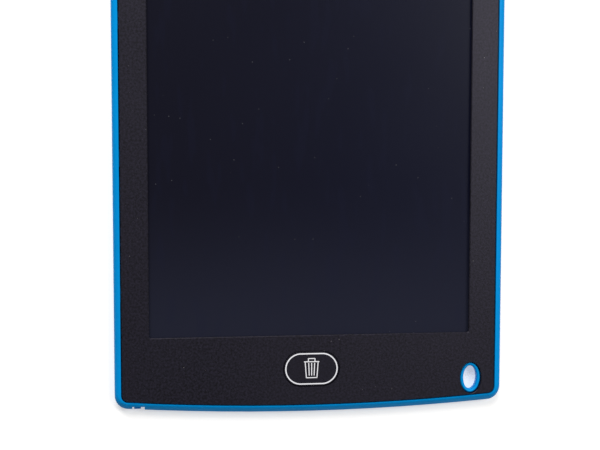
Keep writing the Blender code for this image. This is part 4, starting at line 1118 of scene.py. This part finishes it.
@dataclass(frozen=True)
class BinSign:
    """The bin on the key: a handle, a lid, a tapered can and three bars, each clear of the next."""

    ink: FlatMark
    stroke: float = 0.35 * MM
    clearance: float = 0.02 * MM
    lid_width: float = 5.75 * MM
    handle_width: float = 2.85 * MM
    handle_height: float = 1.18 * MM
    handle_corner: float = 0.25 * MM
    can_width: float = 5.27 * MM
    can_height: float = 6.35 * MM
    can_corner: float = 0.15 * MM
    can_corner_segments: int = 2
    foot_share: float = 0.82
    bar_length: float = 4.8 * MM
    bar_spread: float = 1.12 * MM
    bar_drop: float = 0.22 * MM
    bar_lean: float = 0.2 * MM

    def draw(self, x: float, lid_y: float) -> bpy.types.Object:
        """Prints the sign.

        Args:
            x: The X of its middle.
            lid_y: The Y of its lid.

        Returns:
            The sign, in one piece.
        """
        gap = (self.stroke + self.clearance) / 2
        can_top = lid_y - gap - self.clearance
        strokes = [self.lid(x, lid_y), self.handle(x, lid_y + gap), self.can(x, can_top)]
        strokes += [self.bar(x, can_top - self.bar_drop, place) for place in (-1, 0, 1)]
        return join_pieces(strokes, "key_bin_print")

    def lid(self, x: float, y: float) -> bpy.types.Object:
        """The stroke of the lid."""
        self.ink.plate((x, y), self.lid_width, self.stroke)
        return self.ink.raise_up("bin_lid")

    def handle(self, x: float, foot: float) -> bpy.types.Object:
        """The low arch on the lid, as the upper half of a rounded frame.

        Args:
            x: The X of its middle.
            foot: The Y of its feet.

        Returns:
            The handle.
        """
        self.ink.plate((x, foot), self.handle_width, 2 * self.handle_height, self.handle_corner)
        self.ink.hollow(self.stroke)
        self.ink.cut_off(foot, below=True)
        return self.ink.raise_up("bin_handle")

    def can(self, x: float, top: float) -> bpy.types.Object:
        """The can, as a frame with a narrower foot, whose top stroke is cut off.

        Args:
            x: The X of its middle.
            top: The Y of its upper end.

        Returns:
            The can.
        """
        foot = Vector((x, top - self.can_height, self.ink.level))
        self.ink.plate((x, top - self.can_height / 2), self.can_width, self.can_height)
        choose(Element.VERTEX, lambda point: point.y < 0.0)
        bpy.ops.transform.resize(value=(self.foot_share, 1.0, 1.0), center_override=foot)
        self.ink.round_corners(self.can_corner, self.can_corner_segments)
        self.ink.hollow(self.stroke)
        self.ink.cut_off(top - self.stroke, below=False)
        edit_all()
        bpy.ops.transform.translate(value=(0.0, self.stroke, 0.0))
        return self.ink.raise_up("bin_can")

    def bar(self, x: float, top: float, place: int) -> bpy.types.Object:
        """One of the bars on the can, which lean together towards its foot.

        Args:
            x: The X of the can's middle.
            top: The Y of the bar's upper end.
            place: -1, 0 or 1, for the left, middle or right bar.

        Returns:
            The bar.
        """
        middle = (x + place * self.bar_spread, top - self.bar_length / 2)
        self.ink.plate(middle, self.stroke, self.bar_length)
        choose(Element.VERTEX, lambda point: point.y < 0.0)
        bpy.ops.transform.translate(value=(-place * self.bar_lean, 0.0, 0.0))
        return self.ink.raise_up(f"bin_bar_{place + 1}")


@dataclass
class EraseKey(Assembly):
    """The key with its printed outline and bin sign, and the plunger behind it."""

    body: str = "key"
    ring_length: float = 19.8 * MM
    ring_width: float = 11.85 * MM
    ring_line: float = 0.46 * MM
    ring_points: int = 96
    bin_shift: float = 0.05 * MM
    bin_rise: float = 2.68 * MM

    def smoothed(self) -> dict[str, Finish]:
        """Colours the key and the round plunger.

        Returns:
            The finish of each.
        """
        key = Palette.textured_black(
            "key_black", (0.0058, 0.0051, 0.0096), speckle=0.45, grain_depth=0.01 * MM, dust=0.3, seed=33.0,
        )
        return {"erase_key": key, "tact_plunger": Palette.cream(7.0)}

    def outline(self, centre: Vector, ink: FlatMark) -> bpy.types.Object:
        """The stadium line along the key's edge, as a circle whose halves are moved apart.

        Args:
            centre: The middle of the key.
            ink: The film that it is printed in.

        Returns:
            The line.
        """
        deselect()
        bpy.ops.mesh.primitive_circle_add(
            vertices=self.ring_points, radius=self.ring_width / 2, fill_type="NGON",
            location=(centre.x, centre.y, ink.level),
        )
        edit_all()
        for side in (-1, 1):
            choose(Element.VERTEX, lambda point, side=side: point.x * side > WELD_DISTANCE)
            shift = side * (self.ring_length - self.ring_width) / 2
            bpy.ops.transform.translate(value=(shift, 0.0, 0.0))
        ink.hollow(self.ring_line)
        return ink.raise_up("key_outline_print")

    def build(self) -> list[bpy.types.Object]:
        """Prints the outline and the bin.

        Returns:
            The two prints.
        """
        centre = self.middle("erase_key")
        ink = ink_on(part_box("erase_key")[1].z, Side.FRONT)
        sign = BinSign(ink)
        prints = (self.outline(centre, ink), sign.draw(centre.x + self.bin_shift, centre.y + self.bin_rise))
        return [self.add(piece, Palette.white_ink(), "key_black") for piece in prints]


@dataclass(frozen=True)
class LegRow:
    """Bent legs that come out of the sides of a part and stand on the board."""

    width: float
    reach: float
    thickness: float
    clearance: float = 0.02 * MM
    root_rise_share: float = 2.2
    drop_share: float = 1.5

    def leg(self, foot: Vector, outward: float) -> bpy.types.Object:
        """One leg: a stub that leaves the part, bends down and ends in a foot.

        Args:
            foot: The place on the part's side, at the board's face.
            outward: 1 or -1, the way along Y that the leg points.

        Returns:
            The leg.
        """
        third = self.reach / 3
        away = outward * (third / 2 + self.clearance)
        root = foot + Vector((0.0, away, self.root_rise_share * self.thickness))
        deselect()
        bpy.ops.mesh.primitive_cube_add(size=1.0, location=root)
        edit_all()
        bpy.ops.transform.resize(value=(self.width, third, self.thickness), center_override=root)
        choose(Element.FACE, lambda middle: middle.y * outward > third / 4)
        for drop in (self.drop_share * self.thickness, 0.0):
            step = (0.0, outward * third, -drop)
            bpy.ops.mesh.extrude_region_move(TRANSFORM_OT_translate={"value": step})
        return settle("leg")

    def fit(self, name: str, node: str, columns: Sequence[float]) -> bpy.types.Object:
        """Fits a leg to both sides of a part in each column.

        Args:
            name: The name of all the legs together.
            node: The part that they come out of.
            columns: The X of each pair.

        Returns:
            The legs, in one piece.
        """
        low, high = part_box(node)
        sides = ((low.y, -1.0), (high.y, 1.0))
        made = [self.leg(Vector((x, y, low.z)), outward) for x in columns for y, outward in sides]
        piece = join_pieces(made, name)
        weld(face_out=True)
        return piece


@dataclass
class EraseSwitch(Assembly):
    """The base and snap dome of the erase switch, with its legs."""

    legs: LegRow = LegRow(width=0.7 * MM, reach=0.9 * MM, thickness=0.14 * MM)
    leg_inset: float = 1.1 * MM

    def finishes(self) -> dict[str, Finish]:
        """The moulded base."""
        return {"tact_base": Palette.small_black(9.0)}

    def smoothed(self) -> dict[str, Finish]:
        """The pressed dome."""
        return {"tact_dome": TurnedMetal("dome_steel", Palette.SPRING, self.spot("tact_dome"))}

    def build(self) -> list[bpy.types.Object]:
        """Fits four flat legs to the base.

        Returns:
            The legs.
        """
        low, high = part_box("tact_base")
        columns = (low.x + self.leg_inset, high.x - self.leg_inset)
        legs = self.legs.fit("tact_legs", "tact_base", columns)
        return [self.add(legs, Palette.leg_tin(), "nickel")]


@dataclass
class Electronics(Assembly):
    """The board, its screws and its small parts."""

    dot_inset: float = 0.7 * MM
    legs: LegRow = LegRow(width=0.3 * MM, reach=0.9 * MM, thickness=0.13 * MM)
    leg_columns: int = 5

    def finishes(self) -> dict[str, Finish]:
        """Colours the board, its chip and the parts with tinned ends.

        Returns:
            The finish of each.
        """
        low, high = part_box("controller_chip")
        dot = (low.x + self.dot_inset, high.y - self.dot_inset)
        found: dict[str, Finish] = {
            "circuit_board": SolderMask("solder_mask"),
            "controller_chip": ChipPackage("chip_epoxy", dot),
        }
        coats = {
            "boost_inductor": (0.05, 0.05, 0.052),
            "boost_diode": (0.02, 0.02, 0.02),
            "capacitor_input": (0.36, 0.24, 0.13),
            "capacitor_output": (0.34, 0.22, 0.12),
            "capacitor_supply": (0.4, 0.28, 0.17),
            "resistor_bias": (0.018, 0.018, 0.02),
            "resistor_pull_up": (0.018, 0.018, 0.02),
        }
        for node, colour in coats.items():
            low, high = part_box(node)
            half_length = (high.x - low.x) / 2
            found[node] = CappedComponent(f"{node}_coat", colour, self.middle(node).x, half_length)
        return found

    def smoothed(self) -> dict[str, Finish]:
        """Plates the turned screws.

        Returns:
            The finish of each.
        """
        return {
            node: TurnedMetal(f"{node}_plate", Palette.NICKEL, self.spot(node), roughness=0.26)
            for node in ("board_screw_left", "board_screw_right")
        }

    def build(self) -> list[bpy.types.Object]:
        """Fits the controller's two rows of legs, evenly along its sides.

        Returns:
            The legs.
        """
        low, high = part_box("controller_chip")
        step = (high.x - low.x) / (self.leg_columns + 1)
        columns = [low.x + step * (i + 1) for i in range(self.leg_columns)]
        legs = self.legs.fit("controller_legs", "controller_chip", columns)
        return [self.add(legs, Palette.leg_tin(), "nickel")]


@dataclass
class LockSlider(Assembly):
    """The slider on the back and the lever that it carries."""

    body: str = "slider"

    def finishes(self) -> dict[str, Finish]:
        """Both pieces."""
        return {"lock_slider": Palette.small_black(13.0), "lock_switch_lever": Palette.cream(15.0)}


@dataclass(frozen=True)
class PadlockSign:
    """A padlock sign, with its bow lifted when it is open."""

    ink: FlatMark
    width: float = 1.15 * MM
    line: float = 0.2 * MM
    base_height_share: float = 0.8
    base_corner: float = 0.12 * MM
    bow_width_share: float = 0.7
    bow_length_share: float = 1.1
    bow_corner_share: float = 0.34
    open_lift: float = 0.22 * MM
    closed_lift: float = 0.02 * MM

    def draw(self, x: float, y: float, is_open: bool) -> bpy.types.Object:
        """Prints the sign.

        Args:
            x: The X of its middle.
            y: The Y where the base ends and the bow starts.
            is_open: Whether the bow is lifted.

        Returns:
            The sign, in one piece.
        """
        height = self.width * self.base_height_share
        self.ink.plate((x, y - height / 2), self.width, height, self.base_corner)
        base = self.ink.raise_up("padlock_base")
        foot = y + (self.open_lift if is_open else self.closed_lift)
        bow_width, bow_length = self.width * self.bow_width_share, self.width * self.bow_length_share
        self.ink.plate((x, foot), bow_width, bow_length, self.width * self.bow_corner_share)
        self.ink.hollow(self.line)
        self.ink.cut_off(foot, below=True)
        bow = self.ink.raise_up("padlock_bow")
        return join_pieces([base, bow], "padlock_open" if is_open else "padlock_closed")


@dataclass
class LockSwitch(Assembly):
    """The body of the lock switch and the padlock signs beside the slider."""

    sign_reach: float = 5.35 * MM
    sign_thickness: float = 0.02 * MM
    dish_depth: float = 0.25 * MM

    def finishes(self) -> dict[str, Finish]:
        """The switch's body."""
        return {"lock_switch_body": Palette.small_black(17.0)}

    def build(self) -> list[bpy.types.Object]:
        """Prints one sign at each end of the slider's dish.

        Returns:
            The two signs.
        """
        x, y = self.middle("lock_switch_body").x, self.middle("lock_slider").y
        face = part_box("lock_slider")[0].z + self.dish_depth
        sign = PadlockSign(ink_on(face, Side.BACK, self.sign_thickness))
        prints = (
            sign.draw(x - self.sign_reach, y, is_open=True),
            sign.draw(x + self.sign_reach, y, is_open=False),
        )
        return [self.add(piece, Palette.white_ink(), "shell_blue") for piece in prints]


@dataclass
class Battery(Assembly):
    """The coin cell and its contacts."""

    plus_length: float = 3.4 * MM
    plus_line: float = 0.7 * MM
    plus_corner: float = 0.1 * MM
    plus_clearance: float = 0.02 * MM
    stamp_sink: float = 0.01 * MM
    stamp_thickness: float = 0.03 * MM

    def finishes(self) -> dict[str, Finish]:
        """The stamped contacts."""
        spring = RolledMetal("contact_spring", Palette.SPRING, along=(1.0, 0.05, 1.0), roughness=0.25)
        return {"contact_negative": spring, "contact_positive": spring}

    def smoothed(self) -> dict[str, Finish]:
        """Plates the two round halves of the cell and blackens its gasket.

        Returns:
            The finish of each.
        """
        place = self.spot("cell_can")
        found: dict[str, Finish] = {
            node: TurnedMetal(f"{node}_plate", Palette.NICKEL, place, roughness, ring=0.2 * MM)
            for node, roughness in (("cell_can", 0.24), ("cell_cap", 0.2))
        }
        rubber = (0.04, 0.04, 0.044)
        found["cell_gasket"] = MouldedPlastic(
            "gasket_rubber", rubber, roughness=0.7, grain=0.15 * MM, seed=41.0
        )
        return found

    def build(self) -> list[bpy.types.Object]:
        """Stamps the plus sign on the can, as a bar and two arms that stop short of it.

        Returns:
            The sign.
        """
        x, y = self.spot("cell_can")
        stamp = FlatMark(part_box("cell_can")[0].z + self.stamp_sink, self.stamp_thickness, Side.BACK)
        stamp.plate((x, y), self.plus_length, self.plus_line, self.plus_corner)
        strokes = [stamp.raise_up("plus_bar")]
        reach = (self.plus_length - self.plus_line) / 2 - self.plus_clearance
        for side in (-1, 1):
            arm_y = y + side * (self.plus_line / 2 + self.plus_clearance + reach / 2)
            stamp.plate((x, arm_y), self.plus_line, reach, self.plus_corner)
            strokes.append(stamp.raise_up("plus_arm"))
        metal = RolledMetal("stamped_mark", (0.22, 0.22, 0.21), roughness=0.5)
        return [self.add(join_pieces(strokes, "cell_plus_sign"), metal, "nickel")]


@dataclass
class BatteryDoor(Assembly):
    """The door on the back with its captive screw and an arrow printed in dark blue, which paints the shade
    of a moulded line.
    """

    body: str = "door"
    arrow_radius: float = 1.7 * MM
    arrow_corner: float = 0.25 * MM
    arrow_corner_segments: int = 3
    arrow_line: float = 0.32 * MM
    arrow_place_share: float = 0.3

    def smoothed(self) -> dict[str, Finish]:
        """Colours the door and plates its screw.

        Returns:
            The finish of each.
        """
        place = self.spot("battery_door_screw")
        plate = TurnedMetal("door_screw_plate", Palette.NICKEL, place, roughness=0.24)
        return {"battery_door": Palette.shell(5.0), "battery_door_screw": plate}

    def build(self) -> list[bpy.types.Object]:
        """Prints a triangle that points at the hooks, in a dark blue that is painted shade of a moulded
        line.

        Returns:
            The print.
        """
        low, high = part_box("battery_door")
        ink = ink_on(low.z, Side.BACK)
        place = (low.x + self.arrow_place_share * (high.x - low.x), (low.y + high.y) / 2, ink.level)
        deselect()
        bpy.ops.mesh.primitive_circle_add(
            vertices=3, radius=self.arrow_radius, fill_type="NGON", location=place
        )
        edit_all()
        # With no window this turns the other way round, which brings the tip from +Y to +X
        bpy.ops.transform.rotate(value=math.pi / 2, orient_axis="Z", center_override=place)
        ink.round_corners(self.arrow_corner, self.arrow_corner_segments)
        ink.hollow(self.arrow_line)
        # Painted shade: the dark blue line stands in for the shade in a moulded arrow on the door.
        pigment = PrintedInk("arrow_painted_shade", (0.0, 0.075, 0.22))
        return [self.add(ink.raise_up("door_arrow"), pigment, "shell_blue")]


@dataclass
class Stylus(Assembly):
    """The stylus barrel and its tip."""

    body: str = "stylus"

    def smoothed(self) -> dict[str, Finish]:
        """Colours both turned pieces.

        Returns:
            The finish of each.
        """
        tip = MouldedPlastic("tip_acetal", (0.02, 0.02, 0.022), roughness=0.35, grain=0.2 * MM, seed=55.0)
        barrel = MouldedPlastic(
            "stylus_blue", (0.0, 0.22, 0.62), roughness=0.32, drift=0.05, grain=0.4 * MM,
            grain_depth=0.002 * MM, scuffs=0.15, seed=51.0,
        )
        return {"stylus_barrel": barrel, "stylus_tip": tip}


# The studio


@dataclass(frozen=True)
class Lamp:
    """A soft square lamp that points at the tablet."""

    name: str
    place: Triple
    size: float
    power: float
    aim: Triple = (0.0, -0.03, 0.0)

    def hang(self) -> None:
        """Puts the lamp in the scene."""
        data = bpy.data.lights.new(self.name, "AREA")
        data.shape = "SQUARE"
        data.size = self.size
        data.energy = self.power
        lamp = bpy.data.objects.new(self.name, data)
        lamp.location = self.place
        away = Vector(self.place) - Vector(self.aim)
        lamp.rotation_mode = "QUATERNION"
        lamp.rotation_quaternion = away.to_track_quat("Z", "Y")
        bpy.context.scene.collection.objects.link(lamp)
        LOG.info("%s: %.1f W", self.name, self.power)


@dataclass
class Studio:
    """The camera, the pale floor, the lamps and the world."""

    camera_place: Triple = (-0.06086, -0.00958, 0.44472)
    camera_right: Triple = (0.99185223, 0.00112977, 0.12738871)
    camera_up: Triple = (0.00840056, 0.99720421, -0.07425082)
    camera_back: Triple = (-0.12711645, 0.07471598, 0.98906973)
    lens: float = 72.0
    sensor_width: float = 36.0
    nearest: float = 0.01
    farthest: float = 20.0
    sky: float = 0.2
    paper_dark: Colour = (0.78, 0.76, 0.735)
    paper_light: Colour = (0.82, 0.8, 0.775)
    paper_fibre: float = 4.0 * MM
    paper_glow: float = 0.42
    floor_radius: float = 3.0
    floor_drop: float = 0.02 * MM
    floor_points: int = 96
    floor_rim_share: float = 0.98
    wall_height: float = 1.6
    wall_steps: int = 6
    wall_steepness: float = 0.3
    wall_growth: float = 0.08
    lamps: tuple[Lamp, ...] = (
        Lamp("key_lamp", (-0.24, 0.76, 0.7), size=0.6, power=10.7),
        Lamp("fill_lamp", (0.58, 0.22, 0.85), size=0.5, power=5.2),
        Lamp("under_lamp", (0.15, -0.25, -0.9), size=0.6, power=5.0),
    )

    def set_camera(self) -> None:
        """Puts the camera where the photograph was taken."""
        data = bpy.data.cameras.new("camera")
        data.lens = self.lens
        data.sensor_width = self.sensor_width
        data.clip_start = self.nearest
        data.clip_end = self.farthest
        camera = bpy.data.objects.new("camera", data)
        bpy.context.scene.collection.objects.link(camera)
        axes = Matrix((self.camera_right, self.camera_up, self.camera_back)).transposed()
        camera.matrix_world = Matrix.Translation(self.camera_place) @ axes.to_4x4()
        bpy.context.scene.camera = camera

    def floor_finish(self) -> bpy.types.Material:
        """Pale paper that the camera and mirrors see a little brighter than it is lit.

        The camera sees through it from behind, so that views from below show the tablet's back.

        Returns:
            The material.
        """
        shader = Shader("floor_paper")
        paper = shader.mix(shader.noise(self.paper_fibre, 1.0), self.paper_dark, self.paper_light)
        shader.set(Base_Color=paper, Roughness=0.9, Specular_IOR_Level=0.0)
        surface = Signal(shader, shader.surface.outputs[0])
        kinds = ("Is Camera Ray", "Is Glossy Ray", "Is Transmission Ray")
        camera, glossy, through = (shader.node("ShaderNodeLightPath", out=kind) for kind in kinds)
        white = {"Color": (1.0, 1.0, 1.0), "Strength": self.paper_glow}
        glow = shader.node("ShaderNodeEmission", None, white)
        lit = shader.node("ShaderNodeAddShader", None, {0: surface, 1: glow})
        seen = camera.most(glossy).most(through)
        paper_side = shader.node("ShaderNodeMixShader", None, {0: seen, 1: surface, 2: lit})
        clear = shader.node("ShaderNodeBsdfTransparent")
        behind = shader.node("ShaderNodeNewGeometry", out="Backfacing") * camera
        shown = shader.node("ShaderNodeMixShader", None, {0: behind, 1: paper_side, 2: clear})
        shader.feed(shader.tree.nodes["Material Output"].inputs["Surface"], shown)
        return shader.material

    def lay_floor(self) -> None:
        """Lays a round floor whose edge curves up into a low wall."""
        centre = (0.0, 0.0, -self.floor_drop)
        deselect()
        bpy.ops.mesh.primitive_circle_add(
            vertices=self.floor_points, radius=self.floor_radius, fill_type="NGON", location=centre
        )
        edit_all()
        choose(Element.EDGE, lambda middle: middle.length > self.floor_radius * self.floor_rim_share)
        for i in range(self.wall_steps):
            turn = math.pi / 2 * (i + 1) / self.wall_steps
            rise = self.wall_height / self.wall_steps * (self.wall_steepness + math.sin(turn))
            grow = 1.0 + self.wall_growth * math.cos(turn)
            bpy.ops.mesh.extrude_edges_move(TRANSFORM_OT_translate={"value": (0.0, 0.0, rise)})
            bpy.ops.transform.resize(value=(grow, grow, 1.0), center_override=centre)
        floor = settle("floor")
        bpy.ops.object.shade_smooth()
        floor.visible_shadow = False
        dress_stage(floor, self.floor_finish())

    def light(self) -> None:
        """Hangs the lamps and sets the world's plain sky."""
        for lamp in self.lamps:
            lamp.hang()
        world = bpy.data.worlds.new("sky")
        world.use_nodes = True
        background = world.node_tree.nodes["Background"]
        background.inputs["Color"].default_value = (1.0, 1.0, 1.0, 1.0)
        background.inputs["Strength"].default_value = self.sky
        bpy.context.scene.world = world

    def set_up(self) -> None:
        """Builds the studio."""
        self.set_camera()
        self.lay_floor()
        self.light()
        bpy.context.scene.view_settings.view_transform = "Standard"


def dress_stage(piece: bpy.types.Object, material: bpy.types.Material) -> None:
    """Gives a stage piece its material.

    Args:
        piece: The piece.
        material: What it is made of.
    """
    piece.data.materials.clear()
    piece.data.materials.append(material)


def main() -> None:
    """Loads the frame and dresses each sub-assembly in turn."""
    logging.basicConfig(level=logging.INFO, format="%(name)s: %(message)s")
    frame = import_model()
    Studio().set_up()
    kinds = (
        Enclosure, Display, EraseKey, EraseSwitch, Electronics,
        LockSlider, LockSwitch, Battery, BatteryDoor, Stylus,
    )
    for kind in kinds:
        kind(frame).assemble()


if __name__ == "__main__":
    main()
